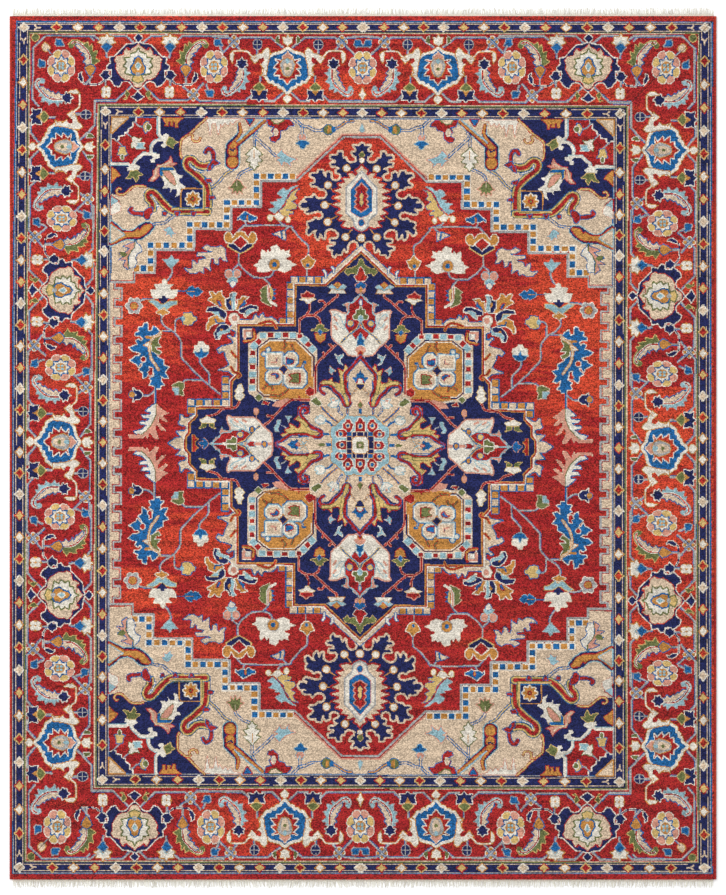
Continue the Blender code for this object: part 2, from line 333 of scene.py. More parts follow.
def palmette_cream(spot):
    """Beige lobed palmette inside a navy bracket; symmetric in s."""
    bracket = [(0, 92), (14, 84), (42, 80), (82, 38), (98, 36), (96, 22), (94, 16), (108, 4), (106, -6),
               (92, -8), (90, -24), (92, -34), (98, -38), (80, -62), (66, -66), (60, -56), (56, -50),
               (42, -46), (30, -50), (10, -72), (0, -78)]
    spot.shape(whole(bracket), NAVY, IVORY, 3.5)
    spot.shape(whole([(0, 118), (10, 110), (14, 104), (5, 96), (0, 88)]), NAVY, IVORY, 3)
    spot.shape(whole([(0, -84), (8, -92), (12, -98), (22, -102), (0, -116)]), NAVY, IVORY, 3)
    body = [(0, 84), (6, 76), (22, 66), (30, 58), (34, 68), (42, 68), (50, 54), (48, 46), (74, 40),
            (82, 26), (76, 16), (77, -4), (70, -16), (58, -34), (44, -42), (30, -42), (20, -50), (12, -66),
            (0, -70)]
    spot.shape(whole(body), BEIGE, RED, 3.0)
    spot.shape(whole([(30, 62), (34, 72), (40, 70), (37, 60)]), RED)
    white = [(0, 66), (5, 54), (14, 50), (26, 46), (26, 34), (46, 32), (38, 20), (48, 6), (36, -2),
             (44, -18), (26, -22), (0, -26)]
    spot.shape(whole(white), IVORY, OLIVE, 5)
    spot.shape(whole([(0, 38), (10, 30), (14, 14), (24, 0), (20, -18), (0, -26)]), ORANGE, BLUE, 5)
    spot.stroke([(14, 32), (16, 20)], BLUE, 4)
    spot.stroke([(-14, 32), (-16, 20)], BLUE, 4)
    spot.shape(whole([(0, 18), (8, 8), (0, -6)]), SKY, IVORY, 3.5)
    spot.shape(whole([(0, -24), (14, -32), (18, -44), (0, -52)]), GOLD, OLIVE, 4)
    spot.shape(oval(0, -24, 8), MIST)


def palmette_blue(spot):
    """Royal-blue palmette in an ivory bracket; symmetric in s."""
    blue = [(0, 65), (17, 52), (47, 45), (65, 32), (78, 9), (79, -19), (68, -33), (61, -45), (49, -44),
            (42, -54), (30, -52), (26, -63), (14, -65), (0, -84)]
    spot.shape(whole(blue), BLUE, ORANGE, 11.5)
    spot.shape(whole(blue), BLUE, IVORY, 9)
    for side in (1, -1):
        arm = [(62, 44), (62, 60), (70, 70), (80, 64), (88, 52), (104, 48), (128, 34), (122, 28), (114, 16),
               (106, 24), (98, 32), (84, 36), (80, 26), (94, 14), (84, 2), (82, -16), (92, -26), (74, -24),
               (70, 10)]
        spot.shape([(side * s, t) for s, t in arm], IVORY, ORANGE, 3)
        spot.shape([(side * s, t) for s, t in ((84, 36), (98, 34), (100, 22), (90, 14), (82, 24))], RED)
        hook = [(side * s, t) for s, t in curve([(112, 34), (128, 44), (142, 58), (188, 58), (196, 46)])]
        spot.stroke(hook, ORANGE, 7.5)
        spot.stroke(hook, IVORY, 4)
        drop = [(side * s, t) for s, t in ((190, 58), (200, 48), (199, 30), (190, 17), (188, 32),
                                           (186, 48))]
        spot.shape(drop, IVORY, ORANGE, 2.5)
    spikes = [(0, 30), (16, 34), (14, 24), (42, 30), (28, 20), (46, 2), (30, -2), (46, -24), (26, -24),
              (28, -38), (14, -38), (0, -56)]
    spot.shape(whole(spikes), RED, IVORY, 3.5)
    spot.shape(whole([(0, 58), (6, 50), (18, 40), (15, 30), (0, 28)]), PINK, IVORY, 2.5)
    spot.shape(whole([(0, 34), (18, 28), (26, 12), (20, -10), (12, -26), (0, -30)]), MIST, ORANGE, 3)
    spot.shape(whole([(0, 22), (14, 14), (14, -2), (8, -22), (0, -26)]), BEIGE)
    spot.shape(oval(0, 24, 6, 10), SKY)
    spot.shape(oval(0, -2, 6), OLIVE)
    spot.shape(whole([(0, 118), (6, 106), (18, 108), (14, 96), (15, 88), (0, 78)]), IVORY, ORANGE, 2.5)
    spot.shape(whole([(0, -94), (12, -102), (14, -110), (0, -124)]), IVORY, ORANGE, 2.5)


def half_cream(spot, reach=263, corner=False):
    """From a beige palmette's axis to the next rosette."""
    spot.vine([(13, 86), (43, 113), (100, 114), (134, 96), (153, 113), (reach + (0 if corner else 45),
            113)], -1)
    if corner:
        spot.vine([(20, -65), (72, -115), (148, -115)], 1)
    else:
        spot.vine([(20, -65), (72, -115), (173, -115), (193, -95), (228, -55)], 1)
        spot.vine([(193, -95), (158, -66)], 1)
        spot.vine([(193, -95), (216, -116), (reach + 2, -116)], -1)
        vine_knot(spot.sub(193, -95))
    hook = [(100, -38), (118, -46), (134, -58), (150, -60), (186, -58), (196, -48)]
    spot.stroke(hook, IVORY, 7)
    spot.stroke(hook, NAVY, 3.5)
    spot.shape([(190, -52), (198, -50), (207, -36), (205, -22), (196, -16), (198, -26), (192, -36),
                (190, -46)], NAVY, IVORY, 2.5)
    spot.shape([(92, -34), (104, -22), (100, -14), (112, -10), (120, -12), (124, -22), (132, -26),
                (124, -34), (118, -42), (104, -40)], NAVY, IVORY, 2.5)
    spot.vine([(112, -44), (111, -64)])
    clover(spot.sub(110, -86))
    white_flower(spot.sub(110, 86))
    spot.vine([(110, 52), (107, 36)])
    bell_leaf(spot.sub(166, -2))
    spot.shape([(28, -92), (40, -80), (44, -92), (38, -106), (50, -110), (40, -112)], MOSS, GOLD, 2)


def half_blue(spot, reach=256, corner=False):
    """From a blue palmette's axis to the next rosette."""
    spot.vine([(14, -88), (44, -116), (78, -116)], 1)
    if corner:
        spot.vine([(230, 104), (205, 82)], 1)
    else:
        spot.vine([(16, 74), (30, 84), (60, 108), (162, 108), (187, 92), (230, 50)], -1)
        spot.vine([(187, 92), (207, 108), (reach + 2, 110)], -1)
        spot.vine([(187, 92), (162, 60)], 1)
        spot.vine([(120, -94), (145, -117), (reach + 2, -117)], 1)
        vine_knot(spot.sub(187, 92))
    spot.shape([(30, 84), (44, 92), (40, 106), (32, 112), (30, 98)], MOSS, IVORY, 2)
    spot.vine([(105, 64), (105, 44)])
    crossed_disc(spot.sub(105, 82))
    spot.vine([(96, -52), (96, -28)])
    thistle(spot.sub(97, -72))
    bud_leaf(spot.sub(159, 16))


def rosette_pair(spot):
    small_blue(spot.sub(12, 87))
    spot.vine([(18, 78), (26, 58)])
    small_blue(spot.sub(-12, -88, 180))
    spot.vine([(-18, -78), (-26, -58)])


def diamond(spot, fill, line):
    """One pointed guard diamond."""
    spot.shape([(0, 15), (5, 7), (16, 0), (6, -8), (0, -13), (-6, -8), (-16, 0), (-5, 7)], fill, line, 4)


def diamonds(spot, count, first, pitch, ease, start=1):
    """A row of guard diamonds from a corner towards the middle of a side."""
    looks = [(BEIGE, IVORY), (RED, GOLD), (IVORY, ORANGE), (GOLD, RED)]
    for k in range(count):
        diamond(spot.sub(first + pitch * k - ease * k * k, 0), *looks[(start + k) % 4])


STEPS = [(5, 1067), (-62, 1067), (-226, 912), (-347, 912), (-347, 820), (-449, 820), (-449, 742),
         (-577, 742), (-577, 669), (-712, 669), (-712, 588), (-783, 588), (-783, 555), (-863, 555)]


def checks(chart, path, yarns, pitch=25.5, size=9.5):
    """Squares of alternating yarns along each straight run of a stepped path."""
    k = 0
    for (x0, y0), (x1, y1) in zip(path, path[1:]):
        run = hypot(x1 - x0, y1 - y0)
        n = max(1, round(run / pitch))
        for i in range(n):
            f = i / n
            x, y = x0 + (x1 - x0) * f, y0 + (y1 - y0) * f
            chart.shape([(x - size, y - size), (x + size, y - size), (x + size, y + size),
                         (x - size, y + size)], yarns[k % len(yarns)], IVORY, 3)
            k += 1


def stem(spot, points, inner=BEIGE):
    """Two blue lines with a pale line between them."""
    path = curve(points)
    spot.stroke(path, BLUE, 11)
    spot.stroke(path, inner, 4.5)


def hook_scroll(spot, path, spur, curl):
    """A red scroll with gold and olive edges."""
    for yarn, width in ((BLUE, 31), (OLIVE, 27), (GOLD, 23), (OLIVE, 15), (RED, 12.5)):
        spot.stroke(path, yarn, width)
    spot.stroke(spur, BLUE, 8)
    spot.stroke(spur, IVORY, 3.5)
    for yarn, width in ((BLUE, 17), (RED, 11)):
        spot.stroke(curl, yarn, width)


def draw_spandrel(chart):
    """The beige spandrel of the quarter with its stems and flowers."""
    spot = Spot(chart, 0, 0)
    ground = [(5, 1128), (-863, 1128), (-863, 555)] + STEPS[::-1][1:]
    chart.shape(ground, BEIGE)
    edge = STEPS
    spot.stroke(offset([(s, t) for s, t in edge[:3]], -9), PINK, 8)
    spot.stroke(offset(edge, -5), RED, 5)
    spot.stroke(edge, MIST, 7)
    # stepped row of squares, 16 outside the edge
    row = [(-240, 928), (-363, 928), (-363, 836), (-465, 836), (-465, 758), (-593, 758), (-593, 685),
           (-728, 685), (-728, 604), (-799, 604)]
    checks(chart, row, [ORANGE, BLUE])
    # ivory fringe of the upper lobe
    spot.shape([(-542, 1128), (-412, 1128), (-438, 1122), (-446, 1108), (-456, 1118), (-464, 1104),
                (-474, 1116), (-484, 1100), (-490, 1112), (-497, 1072), (-506, 1112), (-520, 1112),
                (-526, 1070), (-533, 1112)], IVORY, PINK, 2.5)
    # tulip club, upper right
    club = [(-470, 1038), (-471, 966), (-462, 956), (-447, 951), (-433, 955), (-425, 966), (-425, 1032),
            (-362, 1088), (-332, 1118), (-338, 1124), (-372, 1096), (-436, 1042), (-416, 1074),
            (-418, 1090), (-424, 1112), (-430, 1110), (-428, 1080)]
    spot.shape(club, NAVY, SKY, 3.5)
    spot.stroke(curve([(-458, 1034), (-438, 1052), (-421, 1076), (-420, 1092), (-424, 1110)]), RED, 12)
    spot.stroke(curve([(-458, 1034), (-438, 1052), (-421, 1076), (-420, 1092), (-424, 1110)]), ORANGE, 7)
    spot.stroke([(-434, 1036), (-362, 1098), (-334, 1122)], RED, 11)
    spot.stroke([(-434, 1038), (-362, 1099), (-334, 1123)], ORANGE, 6)
    spot.stroke([(-433, 1048), (-366, 1107), (-344, 1124)], SKY, 5)
    spot.shape(oval(-447, 978, 18, 20), ORANGE, RED, 4)
    spot.shape(oval(-447, 1014, 15, 17), ORANGE, RED, 4)
    spot.shape([(-462, 1030), (-444, 1050), (-430, 1040), (-440, 1024)], ORANGE, RED, 3)
    spot.stroke([(-457, 1022), (-444, 1016), (-440, 1024)], NAVY, 5)
    # lower club, at the left
    club = [(-866, 770), (-846, 756), (-826, 738), (-802, 733), (-782, 741), (-766, 756), (-750, 764),
            (-730, 764), (-718, 754), (-717, 744), (-735, 724), (-760, 706), (-780, 703), (-815, 704),
            (-866, 680)]
    spot.shape(club, NAVY, SKY, 3.5)
    spot.shape([(-866, 762), (-826, 730), (-790, 729), (-772, 742), (-766, 734), (-752, 754), (-728, 758),
                (-724, 750), (-746, 724), (-770, 712), (-812, 712), (-866, 686)], ORANGE, RED, 3.5)
    spot.shape([(-866, 752), (-820, 721), (-866, 694)], BEIGE, SKY, 3.5)
    # stems
    stem(spot, [(-447, 949), (-470, 936), (-494, 906), (-522, 884)], GOLD)
    stem(spot, [(-374, 958), (-404, 946), (-424, 930), (-431, 912)])
    stem(spot, [(-372, 1026), (-372, 1066), (-364, 1082)])
    stem(spot, [(-368, 1064), (-342, 1040), (-318, 1018), (-300, 1000)])
    stem(spot, [(-636, 796), (-662, 778), (-680, 764), (-718, 758)])
    # pine
    half = [(0, 1030), (28, 1003), (13, 999), (27, 981), (9, 976), (16, 964), (6, 962), (0, 950)]
    spot.sub(-372, 0).shape(whole(half), IVORY, OLIVE, 3.5)
    spot.stroke([(-372, 1020), (-372, 990)], ORANGE, 3)
    # olive leaf
    spot.shape([(-431, 916), (-442, 906), (-450, 892), (-458, 886), (-444, 884), (-446, 868), (-434, 878),
                (-430, 864), (-424, 878), (-412, 868), (-414, 884), (-400, 888), (-412, 894), (-418, 908)],
               OLIVE, PINK, 3)
    spot.stroke([(-430, 912), (-430, 896)], BEIGE, 3)
    # sky leaf, tulips and buds of the strip
    spot.shape([(-296, 1000), (-288, 1010), (-278, 1020), (-268, 1008), (-256, 998), (-240, 992),
                (-224, 988), (-240, 983), (-248, 974), (-246, 962), (-258, 976), (-272, 978), (-276, 964),
                (-286, 980), (-296, 986), (-280, 992)], SKY, PINK, 3)
    stem(spot, [(-232, 1126), (-212, 1108), (-207, 1090), (-207, 1066)])
    stem(spot, [(-207, 1104), (-186, 1100), (-166, 1090), (-136, 1090)])
    spot.sub(-205, 0).shape(whole([(0, 1058), (10, 1052), (24, 1043), (10, 1037), (7, 1028), (0, 1024)]),
                            BLUE, SKY, 2)
    spot.shape([(-214, 1054), (-222, 1064), (-214, 1078), (-207, 1064), (-200, 1078), (-192, 1064),
                (-198, 1054)], PINK, SKY, 2)
    spot.shape(oval(-116, 1092, 17, 17), OLIVE, BLUE, 3)
    spot.shape([(-118, 1108), (-106, 1100), (-108, 1084), (-120, 1078)], ORANGE, OLIVE, 2)
    spot.shape(oval(-97, 1093, 8, 11), BLUE)
    stem(spot, [(-90, 1096), (-72, 1106), (-52, 1120), (-30, 1122)], ORANGE)
    spot.shape(whole([(0, 1112), (6, 1098), (8, 1088), (0, 1082)]), SKY, MIST, 2)
    spot.shape([(-402, 1128), (-374, 1128), (-380, 1118), (-388, 1106), (-396, 1118)], BLUE, RED, 4)
    red = [(-330, 1126), (-322, 1104), (-304, 1102), (-312, 1084), (-300, 1072), (-318, 1062), (-314, 1052),
           (-300, 1048), (-284, 1062), (-282, 1086), (-262, 1092), (-254, 1104), (-236, 1106), (-242, 1116),
           (-252, 1126)]
    spot.shape(red, RED, BLUE, 3)
    spot.shape([(-312, 1126), (-304, 1114), (-290, 1112), (-280, 1120), (-272, 1126)], BEIGE, OLIVE, 4)
    spot.shape(oval(-298, 1082, 7, 12), BEIGE, IVORY, 2)
    # left side: sky bud, white patch
    spot.shape([(-866, 856), (-852, 846), (-840, 837), (-852, 828), (-866, 814)], SKY, RED, 3.5)
    spot.shape([(-866, 812), (-858, 826), (-842, 834), (-832, 822), (-834, 804), (-850, 796), (-866, 790)],
               IVORY, PINK, 2)
    # sky cross
    spot.shape([(-676, 744), (-664, 752), (-654, 744), (-648, 730), (-640, 726), (-654, 722), (-654, 712),
                (-664, 722), (-676, 720), (-672, 732), (-686, 736)], SKY, PINK, 2)
    # white and pink leaf below the lower club
    spot.shape([(-783, 704), (-776, 690), (-766, 684), (-758, 664), (-774, 656), (-782, 640), (-776, 626),
                (-784, 606), (-804, 606), (-812, 632), (-806, 654), (-784, 672)], IVORY, BLUE, 3)
    spot.shape([(-786, 694), (-804, 688), (-822, 680), (-800, 674), (-812, 660), (-836, 654), (-818, 646),
                (-838, 632), (-812, 634), (-822, 612), (-804, 600), (-806, 640), (-800, 660), (-784, 676)],
               PINK, BLUE, 3)
    spot.stroke([(-804, 604), (-808, 640), (-796, 664), (-782, 678), (-782, 700)], OLIVE, 3.5)
    spot.shape([(-836, 660), (-818, 662), (-806, 652), (-818, 642), (-830, 646)], OLIVE)


def draw_corner(chart):
    """The navy corner piece of the quarter."""
    spot = Spot(chart, 0, 0)
    navy = [(-866, 1130), (-540, 1130), (-592, 1076), (-626, 1056), (-630, 1040), (-630, 1000), (-618, 990),
            (-618, 955), (-545, 892), (-545, 813), (-652, 813), (-720, 882), (-752, 888), (-780, 893),
            (-800, 885), (-820, 862), (-845, 860), (-866, 862)]
    spot.shape(navy, NAVY)
    # gold and red edge lines
    for line in (curve([(-538, 1130), (-566, 1104), (-592, 1078), (-622, 1056), (-628, 1040), (-628, 1004),
                        (-622, 990)]), curve([(-748, 888), (-764, 892), (-786, 890), (-800, 880),
                                              (-818, 864), (-828, 860), (-842, 862), (-848, 872),
                                              (-842, 882), (-834, 880)]), curve([(-598, 1072), (-586, 1070),
            (-588, 1056), (-578, 1048), (-564, 1050), (-560, 1060)])):
        spot.stroke(line, RED, 10)
        spot.stroke(line, GOLD, 5)
    hook_scroll(spot, curve([(-531, 806), (-531, 870), (-540, 900), (-570, 930), (-602, 956), (-608, 974),
                             (-600, 986), (-586, 984), (-566, 966), (-544, 962), (-524, 966)]),
                curve([(-593, 971), (-588, 958), (-566, 946), (-548, 942)]),
                curve([(-516, 966), (-513, 986), (-514, 1006), (-522, 1020), (-534, 1022), (-541, 1010)]))
    spot.shape([(-516, 984), (-500, 978), (-492, 972), (-506, 966), (-518, 970), (-522, 950), (-532, 946),
                (-530, 962)], RED, BLUE, 3)
    spot.shape([(-541, 918), (-522, 916), (-518, 908), (-534, 904)], RED, BLUE, 3)
    spot.shape([(-524, 858), (-508, 856), (-504, 849), (-524, 846)], RED, BLUE, 3)
    hook_scroll(spot, curve([(-531, 803), (-600, 804), (-652, 806), (-684, 830), (-712, 862), (-728, 870),
                             (-739, 862), (-736, 846), (-724, 832), (-722, 812)]),
                curve([(-727, 858), (-718, 848), (-710, 834), (-706, 820)]),
                curve([(-740, 792), (-762, 794), (-786, 796), (-800, 804), (-796, 812)]))
    spot.shape([(-724, 818), (-742, 812), (-752, 800), (-752, 786), (-744, 774), (-734, 776), (-730, 790),
                (-722, 800)], RED, BLUE, 3)
    for x in (-680, -636, -580):
        spot.shape([(x - 8, 802), (x - 6, 790), (x + 2, 788), (x + 8, 800)], RED, BLUE, 3)
    # straight gold edges of the square at the tip
    spot.stroke([(-548, 890), (-548, 812), (-652, 812)], BLUE, 10)
    spot.stroke([(-546, 892), (-546, 810), (-654, 810)], GOLD, 7)
    spot.stroke([(-542, 892), (-542, 808), (-650, 808)], OLIVE, 2.5)
    spot.stroke([(-550, 883), (-618, 883), (-624, 872), (-624, 818)], ORANGE, 4)
    flower = spot.sub(-583, 847)
    flower.shape([((20 + 4 * cos(8 * a)) * cos(a) * 1.08, (20 + 4 * cos(8 * a)) * sin(a) * 1.08)
                  for a in (2 * pi * k / 48 for k in range(48))], ORANGE, IVORY, 4)
    flower.shape(oval(0, 0, 9), RED)
    flower.shape(oval(0, 0, 4), OLIVE)
    # beige wedge in the very corner
    spot.shape([(-866, 1130), (-812, 1130), (-866, 1078)], BEIGE, ORANGE, 5)
    # red compartment
    jag = [(-783, 1130), (-783, 1118), (-795, 1114), (-793, 1100), (-809, 1090), (-810, 1080), (-822, 1077),
           (-822, 1067), (-842, 1064), (-842, 1054), (-850, 1049), (-858, 1056), (-866, 1056)]
    red = jag + [(-866, 975), (-806, 975), (-800, 960), (-795, 960), (-792, 978), (-766, 1003),
                 (-750, 1008), (-734, 1008), (-729, 1034), (-718, 1048), (-700, 1054), (-708, 1068),
                 (-708, 1130)]
    spot.shape(red, RED)
    spot.stroke(jag, IVORY, 4)
    for line in ([(-790, 1116), (-772, 1100), (-760, 1096)], [(-814, 1076), (-800, 1062), (-790, 1056)],
                 [(-852, 1050), (-840, 1040), (-828, 1028)]):
        spot.vine(line, width=4)
    for line in ([(-703, 1130), (-703, 1072), (-690, 1058)], curve([(-692, 1052), (-714, 1048),
            (-727, 1030), (-729, 1006)]), [(-716, 1003), (-756, 1003), (-784, 978), (-790, 960)],
                 [(-866, 969), (-808, 969), (-796, 958)]):
        spot.stroke(offset(line, -2), SKY, 11)
        spot.stroke(line, IVORY, 9)
    spot.shape([(-702, 1056), (-690, 1062), (-688, 1070), (-680, 1074), (-670, 1072), (-666, 1063),
                (-674, 1050), (-675, 1035), (-680, 1025), (-690, 1026), (-696, 1036), (-686, 1042),
                (-690, 1050)], IVORY)
    spot.shape([(-672, 1052), (-668, 1062), (-655, 1058), (-650, 1050), (-638, 1044), (-650, 1038),
                (-654, 1024), (-664, 1032), (-674, 1036), (-676, 1045)], OLIVE, GOLD, 2.5)
    spot.shape([(-732, 1000), (-716, 1002), (-700, 1003), (-700, 990), (-714, 986), (-716, 974),
                (-728, 973), (-733, 982), (-722, 990)], IVORY)
    spot.shape([(-806, 966), (-803, 958), (-812, 955), (-810, 944), (-800, 946), (-785, 946), (-772, 948),
                (-767, 958), (-775, 962), (-783, 968), (-790, 972)], IVORY)
    spot.shape([(-800, 944), (-806, 927), (-816, 916), (-800, 918), (-794, 926), (-786, 920), (-780, 906),
                (-772, 920), (-776, 927), (-758, 930), (-770, 938), (-776, 945)], OLIVE, GOLD, 2.5)
    # flame at the end, tongue at the side
    spot.shape([(-692, 1130), (-618, 1130), (-632, 1120), (-638, 1112), (-638, 1097), (-646, 1097),
                (-648, 1114), (-655, 1116), (-654, 1103), (-663, 1103), (-664, 1118), (-672, 1116),
                (-672, 1102), (-682, 1102), (-680, 1112)], ORANGE, RED, 2.5)
    spot.shape([(-866, 956), (-856, 950), (-846, 941), (-836, 927), (-850, 920), (-858, 912), (-866, 902)],
               ORANGE, RED, 2.5)
    # flowers of the red compartment
    spot.shape([(-797, 1060), (-788, 1062), (-775, 1055), (-761, 1058), (-767, 1049), (-780, 1045),
                (-784, 1030), (-796, 1024), (-798, 1036), (-793, 1046)], IVORY, OLIVE, 2.5)
    spot.shape([(-780, 1043), (-752, 1041), (-758, 1031), (-752, 1022), (-780, 1022), (-784, 1028),
                (-777, 1035)], SKY, IVORY, 2.5)
    spot.shape(curve([(-740, 1116), (-752, 1112), (-758, 1100), (-754, 1086), (-748, 1076), (-745, 1088),
                      (-748, 1100), (-744, 1108)], True), GOLD, BLUE, 3)
    spot.shape(oval(-740, 1097, 8, 10), OLIVE, IVORY, 3)
    spot.shape([(-839, 1028), (-820, 1028), (-817, 1010), (-810, 1000), (-825, 998), (-838, 1000),
                (-847, 1000), (-842, 1010)], GOLD, BLUE, 3)
    spot.shape(oval(-829, 992, 5, 9), OLIVE, IVORY, 3)
    # anchor, shield and white bird-shaped flower
    spot.shape([(-736, 910), (-722, 926), (-722, 944), (-710, 954), (-708, 966), (-690, 966), (-678, 974),
                (-666, 984), (-661, 994), (-656, 984), (-655, 974), (-640, 969), (-655, 962), (-682, 960),
                (-702, 958), (-702, 944), (-700, 926), (-714, 914), (-724, 908)], PINK, RED, 2.5)
    spot.stroke([(-724, 914), (-712, 930), (-712, 950), (-704, 962), (-680, 966), (-664, 976)], BEIGE, 5)
    spot.shape([(-658, 958), (-642, 946), (-640, 938), (-630, 930), (-618, 930), (-622, 922), (-632, 918),
                (-630, 905), (-620, 898), (-608, 890), (-612, 884), (-625, 884), (-628, 862), (-645, 852),
                (-640, 864), (-640, 880), (-655, 880), (-665, 866), (-660, 878), (-663, 885), (-688, 884),
                (-682, 896), (-683, 905), (-692, 918), (-690, 934)], IVORY)
    spot.shape([(-699, 958), (-656, 958), (-646, 950), (-652, 947), (-688, 947), (-690, 922), (-698, 930)],
               BLUE, GOLD, 1.5)
    spot.shape([(-688, 943), (-665, 943), (-650, 925), (-642, 900), (-646, 894), (-662, 906), (-682, 928)],
               PINK, OLIVE, 2.5)


def pale_vine(spot, points, side=1):
    """The pale stem of the field with its blue shadow."""
    spot.vine(points, side, MIST, BLUE, 5)


def ring_flower(spot, petals, reach, fill, line, heart, rim):
    """A round flower of scalloped petals with a square heart."""
    edge = [(reach * (0.88 + 0.12 * cos(petals * a)) * cos(a), reach * (0.88 + 0.12 * cos(petals * a))
             * sin(a)) for a in (2 * pi * k / 48 for k in range(48))]
    spot.shape(edge, fill, line, 3)
    spot.shape(oval(0, 0, reach * 0.42), heart, rim, 3)


def draw_field(chart):
    """The red field of the quarter with its flowers and stems."""
    spot = Spot(chart, 0, 0)
    # battlements down the side
    tooth, pitch = 20, 64.2
    path = [(-783, 555), (-851, 555)]
    for k in range(9):
        v = 513.6 - pitch * k
        path += [(-851, v + tooth), (-826, v + tooth), (-826, v - tooth), (-851, v - tooth)]
    spot.shape(path[1:] + [(-866, -30), (-866, 555)], BEIGE)
    spot.stroke(offset(path, -5.5), RED, 3.5)
    spot.stroke(path, MIST, 6)
    # sky cup and the lotus below it
    pale_vine(spot, curve([(-654, 606), (-654, 590), (-661, 575), (-669, 564)]))
    spot.shape([(-655, 650), (-648, 637), (-629, 635), (-641, 621), (-657, 605), (-672, 621), (-686, 636),
                (-664, 637)], SKY, MIST, 2)
    pale_vine(spot, curve([(-768, 483), (-757, 493), (-735, 497), (-715, 495)]))
    lotus = [(-680, 567), (-672, 562), (-670, 549), (-648, 549), (-661, 536), (-655, 528), (-632, 530),
             (-638, 510), (-648, 500), (-680, 502), (-716, 500), (-723, 512), (-728, 530), (-706, 531),
             (-713, 549), (-689, 551), (-686, 562)]
    spot.shape(lotus, IVORY, BEIGE, 1.5)
    spot.shape([(-733, 490), (-715, 494), (-700, 487), (-690, 478), (-680, 478), (-668, 488), (-655, 492),
                (-634, 492), (-634, 482), (-652, 476), (-671, 461), (-680, 470), (-696, 461), (-716, 479)],
               SKY, GOLD, 2.5)
    spot.shape([(-676, 510), (-674, 501), (-663, 500), (-672, 489), (-682, 479), (-692, 489), (-701, 500),
                (-688, 501), (-686, 510)], NAVY)
    spot.shape([(-707, 453), (-684, 463), (-661, 453), (-664, 448), (-674, 447), (-684, 439), (-692, 447),
                (-704, 448)], ORANGE, IVORY, 2.5)
    ring_flower(spot.sub(-784, 473), 6, 29, MIST, IVORY, ORANGE, RED)
    # vines of the left half
    pale_vine(spot, curve([(-687, 440), (-688, 422), (-676, 405), (-656, 392), (-645, 385), (-628, 366),
                           (-619, 348), (-618, 300), (-600, 277), (-560, 236), (-520, 200), (-484, 172)]),
              -1)
    pale_vine(spot, [(-690, 388), (-656, 388)], -1)
    pale_vine(spot, curve([(-641, 386), (-641, 420), (-633, 431), (-619, 435)]), -1)
    pale_vine(spot, curve([(-545, 218), (-598, 218), (-611, 209), (-618, 200)]), -1)
    pale_vine(spot, curve([(-552, 296), (-552, 278), (-530, 252), (-522, 240), (-520, 206)]), -1)
    spot.shape([(-612, 449), (-585, 452), (-580, 440), (-569, 436), (-567, 426), (-578, 420), (-583, 411),
                (-600, 408), (-613, 412), (-614, 422), (-621, 431), (-612, 440)], GOLD, BLUE, 3)
    spot.shape(oval(-613, 430, 7, 8), SKY)
    # arrow leaf
    spot.stroke([(-632, 526), (-600, 525)], BLUE, 4)
    spot.shape([(-546, 525), (-557, 534), (-563, 540), (-572, 534), (-577, 538), (-580, 545), (-592, 540),
                (-603, 530), (-603, 520), (-591, 512), (-582, 506), (-577, 515), (-569, 509), (-558, 512),
                (-555, 518)], BLUE, SKY, 1.5)
    spot.stroke([(-600, 525), (-576, 525)], ORANGE, 2.6)
    # great leaf
    leaf = [(-737, 416), (-749, 412), (-752, 400), (-768, 398), (-765, 384), (-779, 378), (-778, 371),
            (-762, 371), (-751, 360), (-758, 351), (-767, 358), (-776, 352), (-769, 338), (-785, 335),
            (-799, 328), (-785, 315), (-772, 314), (-758, 308), (-765, 301), (-778, 300), (-784, 290),
            (-797, 285), (-784, 277), (-773, 272), (-768, 261), (-760, 274), (-750, 276), (-756, 262),
            (-766, 252), (-752, 244), (-750, 222), (-738, 230), (-730, 246), (-716, 250), (-712, 232),
            (-728, 222), (-721, 214), (-728, 200), (-712, 197), (-705, 188), (-692, 188), (-690, 198),
            (-677, 200), (-687, 210), (-690, 232), (-678, 224), (-664, 225), (-676, 245), (-662, 262),
            (-681, 268), (-680, 286), (-700, 296), (-712, 312), (-722, 330), (-716, 352), (-735, 368),
            (-712, 372), (-693, 384), (-704, 396), (-716, 404), (-722, 386), (-734, 388)]
    spot.shape(leaf, BLUE, IVORY, 3)
    spot.shape([(-722, 350), (-708, 362), (-698, 372), (-690, 378), (-692, 366), (-700, 356), (-700, 345),
                (-689, 331), (-710, 331), (-703, 321), (-688, 315), (-696, 304), (-706, 309), (-720, 318)],
               OLIVE, IVORY, 2.5)
    spine = curve([(-690, 384), (-698, 372), (-718, 362), (-727, 345), (-729, 318), (-722, 290),
                   (-709, 270), (-697, 253)])
    spot.shape([(-748, 337), (-730, 350), (-722, 345), (-728, 330)], IVORY, ORANGE, 2.5)
    spot.stroke([(-740, 365), (-722, 363)], ORANGE, 9)
    spot.stroke(spine, ORANGE, 10)
    spot.stroke(spine, BEIGE, 6)
    spot.shape(oval(-750, 288, 8, 9), RED, IVORY, 2.5)
    spot.shape([(-729, 262), (-719, 258), (-718, 236), (-728, 232), (-734, 244), (-726, 250)], RED, IVORY,
               2.5)
